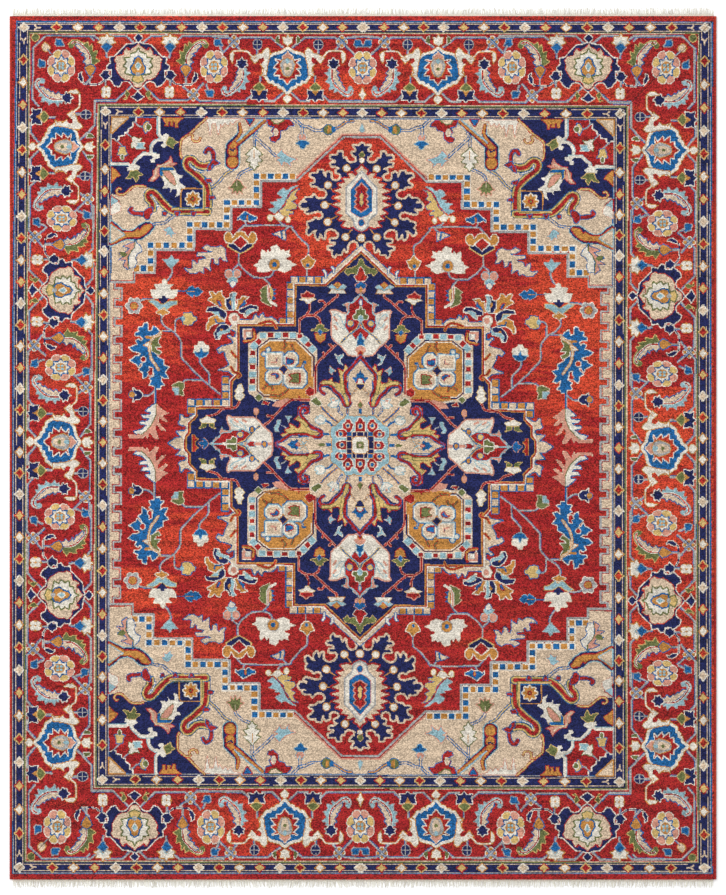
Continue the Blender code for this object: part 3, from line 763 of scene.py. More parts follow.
    # small flowers of the left side
    spot.shape([(-650, 200), (-639, 206), (-625, 212), (-609, 206), (-608, 194), (-614, 182), (-610, 166),
                (-626, 168), (-628, 193), (-648, 195)], OLIVE, BEIGE, 2.5)
    spot.shape([(-650, 190), (-629, 190), (-628, 168), (-639, 168), (-641, 178), (-649, 184)], SKY, MIST, 2)
    pale_vine(spot, curve([(-752, 162), (-735, 162), (-722, 169), (-712, 178)]), 1)
    spot.stroke([(-710, 190), (-710, 138)], MIST, 4)
    spot.stroke([(-706, 190), (-706, 138)], BLUE, 4)
    spot.shape([(-785, 188), (-776, 179), (-763, 179), (-753, 169), (-753, 160), (-763, 150), (-776, 150),
                (-785, 142), (-783, 155), (-772, 164), (-783, 176)], NAVY, IVORY, 3)
    spot.shape(oval(-789, 166, 10, 11), ORANGE, BLUE, 2.5)
    # white and pink leaf
    pink = [(-704, 134), (-684, 116), (-663, 103), (-680, 96), (-692, 93), (-682, 92), (-665, 76),
            (-672, 73), (-688, 84), (-698, 92), (-698, 74), (-682, 54), (-672, 43), (-688, 46), (-701, 66),
            (-707, 58), (-706, 38), (-700, 26), (-696, 14), (-708, 13), (-718, 28), (-728, 37), (-731, 26),
            (-736, 16), (-741, 27), (-752, 16), (-798, 16), (-800, 27), (-755, 28), (-740, 41), (-722, 61),
            (-712, 81), (-706, 96)]
    spot.shape(pink, PINK, BEIGE, 1)
    white = [(-706, 135), (-718, 130), (-741, 109), (-722, 107), (-726, 96), (-756, 95), (-748, 86),
             (-728, 84), (-734, 74), (-761, 72), (-758, 65), (-736, 62), (-752, 46), (-781, 38), (-772, 30),
             (-752, 29), (-738, 44), (-722, 64), (-711, 84), (-706, 100)]
    spot.stroke(offset(white[:15], -1.5), BLUE, 5)
    spot.shape(white, IVORY)
    spot.stroke([(-706, 135), (-706, 97), (-712, 81), (-722, 61), (-740, 41), (-757, 28)], OLIVE, 3.5)
    # blue and white flower
    spot.shape([(-558, 352), (-544, 352), (-537, 341), (-524, 338), (-523, 326), (-528, 314), (-578, 314),
                (-574, 326), (-574, 337), (-562, 340)], IVORY, BEIGE, 1.5)
    spot.shape([(-550, 330), (-544, 314), (-524, 315), (-534, 302), (-546, 296), (-556, 296), (-566, 302),
                (-574, 315), (-556, 314)], BLUE, SKY, 2)
    # serrated beige leaf
    spot.shape([(-548, 677), (-532, 687), (-520, 678), (-497, 679), (-486, 685), (-474, 679), (-468, 668),
                (-470, 648), (-463, 632), (-476, 635), (-486, 648), (-493, 642), (-495, 620), (-505, 624),
                (-508, 640), (-518, 642), (-522, 620), (-520, 598), (-532, 608), (-543, 612), (-545, 590),
                (-556, 598), (-572, 589), (-592, 590), (-608, 605), (-588, 602), (-580, 608), (-584, 632),
                (-574, 630), (-570, 620), (-562, 624), (-560, 635), (-536, 640), (-540, 648), (-566, 650),
                (-564, 659), (-524, 660), (-510, 666), (-532, 668)], BEIGE, BLUE, 3)
    # gold and navy palmette
    palm = spot.sub(-417, 0)
    palm.shape(whole([(0, 657), (10, 661), (26, 672), (42, 684), (44, 698), (54, 706), (52, 694)]), BEIGE)
    palm.shape(whole([(0, 660), (12, 666), (28, 676), (42, 684), (40, 694), (30, 698), (14, 684),
                      (0, 674)]), NAVY, GOLD, 4)
    palm.shape(whole([(0, 735), (14, 731), (22, 718), (29, 711), (31, 722), (37, 732), (46, 732), (54, 722),
                      (55, 708), (46, 696), (30, 694), (26, 702), (12, 713), (0, 720)]), ORANGE, IVORY, 3)
    palm.shape(whole([(0, 718), (24, 697), (12, 686), (0, 675)]), RED, IVORY, 3)
    # vines of the upper part
    pale_vine(spot, curve([(-424, 737), (-410, 749), (-396, 755), (-252, 755), (-236, 742), (-204, 705),
                           (-184, 688), (-183, 658)]))
    pale_vine(spot, [(-421, 656), (-421, 622), (-440, 604), (-440, 594)], -1)
    pale_vine(spot, curve([(-420, 624), (-405, 604), (-374, 580), (-364, 577), (-325, 577), (-308, 586),
                           (-302, 602)]), -1)
    pale_vine(spot, curve([(-336, 574), (-322, 560), (-314, 548)]))
    pale_vine(spot, [(-404, 772), (-398, 758)])
    pale_vine(spot, curve([(-286, 776), (-277, 763), (-262, 757)]))
    pale_vine(spot, [(-254, 752), (-268, 736)])
    spot.stroke([(-186, 610), (-186, 582)], MIST, 4)
    # blue flower
    spot.shape([(-402, 805), (-385, 794), (-372, 788), (-361, 786), (-362, 778), (-376, 774), (-384, 768),
                (-392, 774), (-410, 774), (-420, 780), (-428, 774), (-428, 782), (-418, 790)], BLUE, IVORY,
               2.5)
    spot.shape(oval(-394, 782, 2.5, 8), ORANGE, RED, 2)
    # sky and gold leaf with its white cup
    spot.shape([(-222, 896), (-238, 892), (-252, 882), (-262, 878), (-270, 886), (-282, 878), (-291, 868),
                (-282, 861), (-272, 858), (-276, 850), (-292, 848), (-284, 842), (-314, 836), (-304, 830),
                (-298, 820), (-318, 812), (-300, 800), (-288, 810), (-270, 828), (-262, 846), (-258, 862),
                (-248, 872)], SKY, MIST, 2)
    spot.shape([(-214, 884), (-226, 882), (-242, 872), (-248, 858), (-258, 846), (-262, 826), (-284, 806),
                (-270, 792), (-252, 790), (-250, 798), (-236, 798), (-238, 806), (-262, 812), (-226, 816),
                (-222, 828), (-242, 842), (-222, 852), (-232, 862), (-226, 876)], GOLD, BLUE, 2)
    spot.stroke(curve([(-222, 892), (-246, 874), (-258, 852), (-268, 830), (-288, 806)]), RED, 3)
    spot.shape([(-286, 802), (-266, 788), (-278, 774), (-292, 778), (-302, 790)], IVORY, ORANGE, 2.5)
    spot.stroke([(-302, 792), (-318, 792)], IVORY, 5)
    spot.shape(oval(-315, 784, 8, 10), IVORY, GOLD, 2.5)
    spot.shape(oval(-253, 778, 7, 10), IVORY, GOLD, 2.5)
    # pinwheel
    spot.shape([(-305, 727), (-280, 737), (-263, 738), (-261, 708), (-272, 711), (-284, 720)], BEIGE, BLUE,
               3)
    spot.stroke([(-276, 736), (-272, 713)], BLUE, 6)
    # star flower
    spot.shape([(-292, 690), (-282, 680), (-280, 670), (-268, 674), (-262, 667), (-247, 672), (-249, 660),
                (-242, 651), (-256, 647), (-260, 640), (-243, 635), (-240, 628), (-222, 621), (-241, 614),
                (-243, 604), (-262, 594), (-282, 600), (-300, 606), (-318, 598), (-332, 595), (-358, 597),
                (-357, 610), (-371, 618), (-355, 625), (-352, 636), (-344, 641), (-346, 662), (-341, 673),
                (-335, 668), (-328, 660), (-321, 673), (-317, 664), (-310, 668), (-312, 682)], IVORY, BEIGE,
               1)
    star = spot.sub(-299, 621)
    star.shape(oval(0, 0, 19), ORANGE, MIST, 3)
    star.shape([(9 * cos(a), 9 * sin(a)) for a in (k * pi / 3 for k in range(6))], BLUE)
    # hanging bud
    spot.shape([(-182, 656), (-170, 641), (-158, 637), (-168, 616), (-177, 609), (-190, 609), (-199, 618),
                (-207, 637), (-194, 642)], ORANGE, IVORY, 3)
    spot.shape(oval(-184, 619, 5, 6), BLUE, MIST, 1.5)
    # triple flower
    spot.shape(oval(-457, 588, 13, 14), PINK, SKY, 2.5)
    spot.shape(oval(-428, 588, 12, 13), PINK, SKY, 2.5)
    spot.shape([(-462, 562), (-454, 574), (-442, 578), (-428, 572), (-426, 561), (-442, 556)], SKY, BEIGE,
               2)
    spot.shape([(-454, 556), (-444, 564), (-433, 560), (-431, 551), (-444, 540), (-450, 548)], IVORY, BLUE,
               2)
    # striped leaf
    spot.shape([(-322, 550), (-336, 542), (-349, 530), (-341, 524), (-346, 512), (-340, 504), (-346, 497),
                (-334, 488), (-322, 484), (-310, 478), (-316, 500), (-318, 540)], OLIVE, BEIGE, 2)
    spot.shape([(-314, 550), (-306, 540), (-292, 536), (-302, 528), (-291, 519), (-302, 514), (-292, 502),
                (-306, 500), (-310, 520)], BLUE)
    spot.shape([(-314, 548), (-305, 538), (-302, 526), (-304, 506), (-310, 496)], GOLD)
    spot.stroke([(-319, 549), (-319, 508), (-310, 490), (-292, 480)], IVORY, 9)
    spot.stroke([(-319, 549), (-319, 508), (-313, 496)], PINK, 4)


def draw_flames(chart):
    """The many-flamed palmette at the medallion's re-entrant corner."""
    spot = Spot(chart, 0, 0)
    # upper left, gold
    spot.shape([(-522, 525), (-510, 524), (-500, 514), (-492, 524), (-482, 526), (-480, 512), (-468, 502),
                (-467, 480), (-458, 462), (-472, 462), (-490, 474), (-510, 488), (-526, 496), (-522, 503),
                (-512, 504)], ORANGE, IVORY, 3)
    spot.shape([(-496, 494), (-488, 492), (-480, 478), (-487, 474)], BLUE, RED, 3)
    # upper, navy and sky
    spot.shape([(-436, 523), (-450, 518), (-453, 504), (-466, 500), (-466, 480), (-456, 462), (-440, 462),
                (-432, 472), (-436, 500)], NAVY, IVORY, 3)
    spot.shape([(-440, 522), (-428, 520), (-436, 508), (-434, 478), (-436, 464), (-444, 466), (-443, 490),
                (-448, 500)], SKY, IVORY, 2)
    spot.shape([(-452, 498), (-456, 488), (-448, 478), (-446, 490)], ORANGE)
    # upper right, gold and blue
    spot.shape([(-388, 507), (-410, 508), (-414, 500), (-426, 498), (-424, 484), (-432, 464), (-420, 462),
                (-410, 474), (-398, 484), (-400, 498)], ORANGE, IVORY, 3)
    spot.shape([(-402, 500), (-396, 482), (-412, 472), (-424, 462), (-416, 478), (-406, 488)], BLUE, RED,
               1.5)
    # right, navy and sky
    spot.shape([(-382, 479), (-362, 478), (-356, 470), (-356, 462), (-372, 460), (-386, 448), (-400, 438),
                (-402, 446), (-396, 450), (-418, 454), (-420, 464), (-404, 470)], NAVY, IVORY, 3)
    spot.shape([(-358, 464), (-372, 461), (-382, 450), (-402, 438), (-396, 450), (-398, 460), (-380, 468)],
               SKY, BEIGE, 1.5)
    # left, navy and sky
    spot.shape([(-533, 458), (-526, 470), (-500, 472), (-480, 464), (-466, 452), (-466, 440), (-472, 428),
                (-486, 430), (-500, 444), (-516, 458)], NAVY, IVORY, 3)
    spot.shape([(-514, 456), (-490, 456), (-486, 440), (-474, 430), (-488, 428), (-502, 444)], SKY, GOLD,
               1.5)
    # lower left, gold
    spot.shape([(-512, 438), (-496, 442), (-486, 432), (-470, 424), (-476, 418), (-504, 414), (-520, 404),
                (-524, 392), (-532, 392), (-532, 410), (-524, 422), (-524, 432)], ORANGE, IVORY, 3)
    spot.stroke([(-502, 430), (-498, 418), (-470, 416)], BLUE, 5)
    # lowest, navy and sky
    spot.shape([(-500, 362), (-505, 380), (-500, 390), (-494, 400), (-482, 410), (-466, 412), (-456, 408),
                (-452, 396), (-460, 386), (-480, 382), (-488, 362)], NAVY, IVORY, 3)
    spot.shape([(-490, 362), (-496, 380), (-484, 390), (-462, 392), (-450, 402), (-452, 386), (-474, 380),
                (-486, 374)], SKY, IVORY, 1.5)
    spot.shape(oval(-480, 394, 5, 4), ORANGE)
    # the round eye
    spot.shape(curve([(-454, 432), (-450, 446), (-440, 451), (-428, 448), (-420, 436), (-424, 424),
                      (-432, 414), (-440, 408), (-446, 418)], True), IVORY, BEIGE, 2)
    spot.shape(oval(-435, 434, 10, 11), PINK, IVORY, 1)

OUTLINE = [(3, 672), (-122, 553), (-228, 553), (-228, 412), (-423, 412), (-423, 240), (-446, 216),
           (-446, 127), (-566, 124), (-566, 95), (-591, 70), (-591, 38), (-604, 22), (-604, -5)]


def red_vine(spot, points):
    """A red stem with pale edges."""
    path = curve(points)
    spot.stroke(path, PINK, 8.5)
    spot.stroke(path, RED, 5)


def draw_medallion(chart):
    """The navy stepped medallion of the quarter."""
    spot = Spot(chart, 0, 0)
    inner = OUTLINE + [(5, -5)]
    # pale band along the slope, hooks
    spot.shape([(-132, 580), (-120, 580), (-92, 604), (-78, 620), (0, 690), (3, 672), (-122, 553),
                (-132, 556)], BEIGE, BLUE, 3)
    for points in ([(-128, 602), (-122, 594), (-122, 578)], [(-100, 614), (-94, 608), (-94, 596)]):
        spot.stroke(points, BLUE, 11)
        spot.stroke(points, IVORY, 6)
    # rows of squares outside the steps
    squares = [(-229 + 27 * k, 568, 0) for k in range(4)] + [(-243, 547 - 24.5 * k,
                                                              1) for k in range(6)] + [(-268, 424, 1)]
    squares += [(-465, 219 - 26.5 * k, 1) for k in range(3)] + [(-466 - 29.5 * k, 140,
            0) for k in range(5)] + [(-583, 114, 1)]
    for n, (u, v, first) in enumerate(squares):
        spot.shape([(u - 11, v - 11), (u + 11, v - 11), (u + 11, v + 11), (u - 11, v + 11)], None, BLUE,
                   3.5)
    row = 0
    for n, (u, v, first) in enumerate(squares):
        if n in (4, 11, 14, 19):
            row = 0
        spot.shape([(u - 11, v - 10.5), (u + 11, v - 10.5), (u + 11, v + 10.5), (u - 11, v + 10.5)],
                   ORANGE if (row + first) % 2 else BEIGE)
        row += 1
    # waves along the corner: over the top step, then down its side
    top = [(-425, 429), (-400, 428), (-372, 428), (-368, 440), (-362, 449), (-356, 438), (-348, 434),
           (-345, 446), (-338, 451), (-334, 440), (-328, 436), (-308, 438), (-294, 430), (-283, 415),
           (-284, 403), (-292, 410), (-302, 424), (-320, 428), (-340, 420), (-352, 413), (-425, 413)]
    side = [(-424, 413), (-440, 413), (-448, 405), (-447, 396), (-431, 390), (-431, 366), (-442, 366),
            (-452, 374), (-458, 371), (-444, 360), (-439, 348), (-462, 339), (-482, 335), (-494, 324),
            (-488, 313), (-478, 319), (-468, 318), (-466, 302), (-458, 286), (-452, 272), (-468, 262),
            (-490, 254), (-468, 252), (-452, 250), (-440, 238), (-424, 230), (-423, 240)]
    for wave in (top, side):
        spot.shape(wave, BEIGE, BLUE, 4)
    foot = [(-566, 102), (-580, 96), (-594, 86), (-608, 86), (-615, 98), (-620, 98), (-620, 80), (-627, 70),
            (-618, 63), (-603, 61), (-598, 52), (-606, 42), (-634, 40), (-624, 30), (-616, 20), (-638, 17),
            (-650, 8), (-662, 0), (-650, -8), (-600, -8), (-600, 22), (-586, 40), (-586, 68), (-566, 90)]
    spot.shape(foot, BEIGE, BLUE, 4)
    spot.shape(inner, NAVY)
    edge = OUTLINE
    spot.stroke(offset(edge, -4.5), IVORY, 5)
    spot.stroke(offset(edge, 0), RED, 5)
    spot.stroke(offset(edge, 4.3), ORANGE, 3.8)
    # curls where the waves end
    for line in (curve([(-352, 414), (-332, 421), (-312, 424), (-297, 414), (-291, 401)]),
                 curve([(-430, 300), (-446, 318)]), curve([(-446, 264), (-436, 248), (-420, 244),
                                                           (-414, 236), (-420, 230)])):
        spot.stroke(line, ORANGE, 11)
        spot.stroke(line, RED, 6)
    draw_cartouche(spot)
    draw_medallion_stems(spot)
    draw_palmette_end(spot)
    draw_palmette_side(spot)
    draw_heart(spot)


def draw_medallion_stems(spot):
    """The stems and small flowers on the medallion's navy ground."""
    red_vine(spot, [(-80, 520), (-82, 512), (-96, 502), (-112, 488), (-132, 470), (-158, 448), (-144, 436),
                    (-138, 418)])
    red_vine(spot, [(-144, 496), (-130, 496), (-122, 486)])
    red_vine(spot, [(-160, 446), (-186, 446), (-206, 434), (-211, 428), (-211, 384)])
    red_vine(spot, [(-177, 492), (-177, 466), (-186, 450)])
    red_vine(spot, [(-86, 344), (-102, 330), (-128, 304), (-146, 284), (-154, 262), (-155, 176)])
    red_vine(spot, [(-106, 346), (-98, 338)])
    red_vine(spot, [(-128, 318), (-126, 304)])
    red_vine(spot, [(-332, 64), (-312, 80), (-296, 98), (-272, 124), (-246, 148), (-226, 154), (-176, 154)])
    red_vine(spot, [(-320, 98), (-300, 96)])
    red_vine(spot, [(-528, 94), (-500, 101), (-486, 110), (-474, 120), (-432, 125), (-421, 138),
                    (-416, 152)])
    spot.stroke([(-359, 110), (-359, 92)], PINK, 3)
    spot.shape(oval(-359, 113, 8, 12), PINK, ORANGE, 1.5)
    # tulip, cups and buds on the navy
    spot.shape([(-186, 530), (-196, 520), (-205, 518), (-202, 508), (-164, 508), (-162, 518), (-176, 522)],
               RED, PINK, 3)
    spot.shape([(-212, 501), (-198, 507), (-183, 502), (-168, 507), (-154, 503), (-170, 496), (-176, 488),
                (-186, 488), (-194, 497)], IVORY, GOLD, 1.5)
    spot.shape([(-112, 546), (-100, 553), (-80, 545), (-62, 553), (-50, 547), (-64, 536), (-80, 530),
                (-96, 536)], SKY, MIST, 2)
    spot.shape([(-94, 554), (-80, 563), (-68, 554), (-80, 540)], ORANGE, RED, 1.5)
    spot.shape([(-110, 524), (-98, 539), (-80, 531), (-62, 539), (-53, 524)], IVORY, ORANGE, 2)
    spot.shape([(-158, 384), (-152, 362), (-138, 352), (-124, 364), (-121, 382)], ORANGE, RED, 2.5)
    spot.shape([(-138, 416), (-150, 412), (-154, 402), (-170, 395), (-154, 392), (-142, 386), (-122, 392),
                (-110, 396), (-126, 402), (-128, 412)], OLIVE, GOLD, 2)
    spot.shape([(-142, 400), (-130, 390), (-138, 378), (-148, 388)], BLUE, MIST, 1.5)
    spot.shape([(-88, 312), (-78, 304), (-60, 314), (-62, 302), (-72, 298), (-70, 286), (-62, 276),
                (-74, 284), (-78, 296)], SKY, IVORY, 2)
    spot.shape([(-104, 272), (-96, 262), (-84, 256), (-96, 252), (-98, 242), (-108, 252)], SKY, PINK, 1.5)
    spot.shape([(-286, 82), (-274, 82), (-278, 66), (-286, 54), (-280, 44), (-292, 44), (-297, 56),
                (-288, 68)], SKY, MIST, 2)
    spot.stroke([(-272, 66), (-262, 62), (-252, 53)], MIST, 3.5)
    spot.shape([(-258, 98), (-236, 97), (-246, 88), (-247, 74), (-251, 88)], SKY, MIST, 2)
    spot.shape([(-410, 206), (-420, 205), (-424, 190), (-434, 183), (-425, 176), (-434, 164), (-425, 154),
                (-416, 150), (-406, 158), (-399, 168), (-408, 177), (-402, 186), (-409, 196)], IVORY, GOLD,
               2)
    spot.shape([(-554, 82), (-538, 88), (-528, 94), (-518, 88), (-498, 82), (-504, 72), (-546, 72)], IVORY,
               GOLD, 1.5)
    for u, tip in ((-539, -556), (-512, -498)):
        spot.shape([(u - 8, 69), (u + 8, 69), (u + 8, 59), (u, 55), (tip, 52), (u - 8, 60)], OLIVE, GOLD, 2)
    # pink corner bracket
    spot.shape([(-405, 397), (-376, 397), (-376, 370), (-394, 370), (-400, 360), (-405, 372)], PINK, IVORY,
               2)
    spot.shape([(-394, 386), (-380, 386), (-380, 372), (-392, 372)], IVORY, MIST, 2)
    spot.stroke([(-370, 396), (-366, 386), (-364, 366), (-376, 356), (-402, 353)], RED, 12)
    spot.stroke([(-368, 388), (-366, 366), (-378, 358), (-402, 354)], ORANGE, 6)
    # comb and bud at the side
    spot.shape([(-579, -4), (-579, 28), (-571, 28), (-567, 18), (-560, 15), (-569, 8), (-569, -4)], RED,
               ORANGE, 2.5)
    spot.shape([(-558, 0), (-550, 9), (-541, 7), (-544, 17), (-536, 18), (-528, 10), (-523, 0), (-528, -8),
                (-558, -2)], BLUE, PINK, 1.5)


def draw_cartouche(spot):
    """Gold eight-sided cartouche with a quatrefoil, framed by beads."""
    outer = [(-350, 388), (-205, 388), (-150, 332), (-150, 160), (-210, 152), (-340, 152), (-382, 172),
             (-388, 186), (-388, 345)]
    spot.shape(outer, BEIGE)
    beads = [(-337, 375, SKY), (-311, 377, RED), (-286, 377, SKY), (-260, 377, RED), (-235, 377, SKY),
             (-210, 375, RED), (-193, 360, SKY), (-180, 345, RED), (-166, 330, SKY), (-352, 353, RED),
             (-367, 338, SKY)]
    beads += [(-372, 313 - 24 * k, SKY if k % 2 else RED) for k in range(6)] + [(-350, 160, OLIVE)]
    for u, v, yarn in beads:
        r = 11.5 if yarn == SKY else 9.5
        slant = u in (-193, -180, -166, -352, -367, -350)
        sides = [(0, 1), (1, 0), (0, -1), (-1, 0)] if slant else [(-0.95, 0.8), (0.95, 0.8), (0.95, -0.8),
                (-0.95, -0.8)]
        size = 1.35 if slant else 1.0
        spot.shape([(u + r * size * a, v + r * size * b) for a, b in sides], yarn, IVORY, 2)
    frame = [(-316, 363), (-222, 363), (-161, 306), (-161, 240), (-161, 160), (-330, 160), (-356, 184),
             (-356, 332)]
    spot.shape(frame, ORANGE)
    spot.stroke([(-161, 236), (-161, 306), (-222, 363), (-316, 363), (-356, 332), (-356, 184), (-333, 165),
                 (-312, 165)], NAVY, 4)
    line = [(-166, 236), (-166, 303), (-224, 358), (-314, 358), (-351, 330), (-351, 187), (-331, 169),
            (-312, 169)]
    spot.stroke(line, IVORY, 3)
    # the open lower edge
    spot.shape([(-320, 160), (-300, 170), (-250, 168), (-244, 160), (-218, 164), (-176, 164), (-176, 150),
                (-240, 152), (-256, 150)], ORANGE)
    spot.stroke([(-322, 158), (-298, 150), (-260, 146)], IVORY, 4)
    spot.shape([(-292, 148), (-250, 160), (-244, 154), (-264, 136), (-272, 128), (-304, 130), (-298, 140)],
               PINK)
    spot.shape([(-242, 160), (-214, 160), (-212, 172), (-206, 160), (-174, 160), (-174, 154), (-240, 154)],
               RED)
    spot.shape([(-176, 200), (-188, 186), (-186, 174), (-168, 162), (-158, 176), (-158, 190)], RED, BEIGE,
               1.5)
    spot.shape([(-332, 152), (-340, 138), (-318, 136), (-314, 142), (-324, 146)], RED, BEIGE, 1.5)
    # small leaves in the gold
    for points in ([(-262, 354), (-256, 342), (-266, 330)], [(-238, 344), (-232, 334), (-230, 326)],
                   [(-322, 214), (-320, 204), (-334, 192)], [(-318, 204), (-306, 200), (-302, 190)],
                   [(-250, 190), (-262, 178), (-280, 168)], [(-280, 166), (-306, 168)]):
        spot.stroke(points, RED, 9)
        spot.stroke(points, OLIVE, 4)
    # quatrefoil
    # each lobe as its left, top, right and foot, and how much its corners are cut
    lobes = [(-330, 320, -264, 260, 3), (-268, 324, -211, 262, 18), (-330, 262, -264, 204, 16),
             (-268, 268, -181, 192, 18)]
    for inset, yarn in ((0, BLUE), (3, SKY), (5.5, IVORY), (10, BEIGE)):
        for u, v, r in ((-318, 325, 11), (-333, 311, 11)):
            spot.shape(oval(u, v, r - min(inset, 5)), yarn if inset < 10 else IVORY)
        for left, top, right, foot, cut in lobes:
            a, b, c, d = left + inset, top - inset, right - inset, foot + inset
            k = max(cut - 0.6 * inset, 0)
            spot.shape([(a + k, b), (c - k, b), (c, b - k), (c, d + k), (c - k, d), (a + k, d), (a, d + k),
                        (a, b - k)], yarn)
    spot.stroke([(-200, 268), (-195, 284), (-190, 284)], BLUE, 9)
    spot.stroke([(-200, 266), (-196, 280)], MIST, 4)
    spot.stroke([(-268, 318), (-268, 205)], MIST, 5)
    spot.stroke([(-322, 259), (-235, 259)], MIST, 5)
    spot.shape([(-255, 298), (-232, 292), (-232, 282), (-242, 278), (-254, 278)], BLUE, RED, 3.5)
    spot.shape([(-308, 240), (-298, 246), (-284, 242), (-280, 234), (-288, 226), (-294, 238)], BLUE, RED, 3)
    spot.shape([(-246, 240), (-226, 244), (-210, 246), (-210, 214), (-226, 212), (-244, 216), (-234, 228)],
               OLIVE, RED, 3)
    spot.stroke([(-290, 296), (-290, 284), (-306, 282)], PINK, 6)
    spot.stroke([(-290, 294), (-290, 286)], NAVY, 3)
    spot.shape([(-266, 274), (-258, 268), (-249, 258), (-258, 252), (-264, 242), (-272, 252), (-280, 258),
                (-272, 266)], NAVY, ORANGE, 2.5)


def palmette_body(spot, side):
    """One half of the great white and red palmettes, mirrored by its side; t runs out from the middle."""
    def mirrored(points):
        return [(side * s, t) for s, t in points]
    wing = [(104, 462), (98, 464), (80, 462), (64, 454), (50, 452), (48, 430), (40, 408), (14, 398),
            (0, 400), (0, 308), (40, 312), (66, 342), (88, 360), (97, 372), (98, 452)]
    spot.shape(mirrored(wing), IVORY, PINK, 5)
    spot.shape(mirrored([(90, 450), (84, 452), (70, 440), (62, 420), (52, 404), (60, 402), (74, 410),
                         (82, 424)]), IVORY, SKY, 3)
    spot.stroke(mirrored([(91, 440), (83, 430)]), PINK, 7)
    spot.stroke(mirrored([(91, 412), (83, 400)]), PINK, 7)
    flame = [(0, 528), (6, 516), (22, 506), (24, 498), (34, 490), (44, 492), (62, 484), (50, 480),
             (46, 456), (44, 438), (30, 440), (10, 470), (0, 500)]
    spot.shape(mirrored(flame), PINK, SKY, 1.5)
    spot.shape(mirrored([(0, 518), (14, 502), (24, 492), (38, 486), (40, 470), (41, 454), (50, 446),
                         (52, 408), (42, 390), (30, 386), (16, 392), (0, 410)]), RED, SKY, 3)
    spot.shape(mirrored([(0, 482), (4, 468), (14, 466), (16, 452), (26, 446), (22, 434), (0, 434)]), OLIVE,
               IVORY, 3)
    spot.shape(oval(side * 35, 420, 10), GOLD, BLUE, 3)
    line = mirrored([(0, 428), (10, 404), (50, 372), (66, 354)])
    spot.stroke(line, GOLD, 9)
    spot.stroke(line, BLUE, 4)


def draw_palmette_end(spot):
    """The palmette on the long axis, with its crown below the point."""
    for side in (1, -1):
        palmette_body(spot, side)
    spot.shape(oval(0, 437, 9, 11), SKY, IVORY, 1.5)
    spot.shape([(0, 408), (-30, 384), (-22, 372), (-16, 364), (-10, 376), (10, 376), (16, 364), (22, 372),
                (30, 384)], RED, SKY, 2)
    spot.shape(whole([(0, 385), (5, 380), (6, 366), (12, 362), (10, 350), (14, 342), (4, 346), (0, 344)]),
               BLUE, SKY, 2)
    spot.shape(oval(0, 492, 4, 10), IVORY, BLUE, 3)
    # the crown
    spot.shape(whole([(0, 645), (6, 640), (12, 622), (28, 612), (50, 608), (56, 598), (44, 586), (36, 596),
                      (18, 592), (0, 590)]), OLIVE, GOLD, 2)
    spot.shape(whole([(0, 618), (8, 606), (14, 588), (24, 582), (14, 568), (0, 566)]), RED, IVORY, 2)
    spot.shape(whole([(0, 566), (10, 560), (20, 554), (16, 543), (6, 540), (0, 543)]), BLUE, PINK, 2)
    spot.shape(whole([(0, 530), (8, 524), (18, 530), (18, 540), (8, 540), (0, 546)]), PINK)
    spot.shape(whole([(0, 548), (6, 540), (2, 528), (0, 526)]), ORANGE)
    # foot, over the white body
    spot.shape(whole([(0, 344), (14, 338), (20, 326), (10, 318), (12, 304), (0, 300)]), PINK, IVORY, 2)
    spot.shape([(-8, 318), (0, 326), (8, 318), (0, 304)], RED, ORANGE, 2)


def draw_palmette_side(spot):
    """The palmette on the short axis."""
    turned = Spot(spot.chart, 0, 0, (0, 1), (-1, 0), 0.92, 0.985)
    for side in (1, -1):
        palmette_body(turned, side)
    spot.shape([(-392, 0), (-380, 8), (-362, 7), (-368, 0), (-362, -7), (-380, -8)], RED, SKY, 2)
    for u, v in ((-373, 50), (-330, 0)):
        spot.shape(oval(u, v, 7, 9), ORANGE, BLUE, 4)


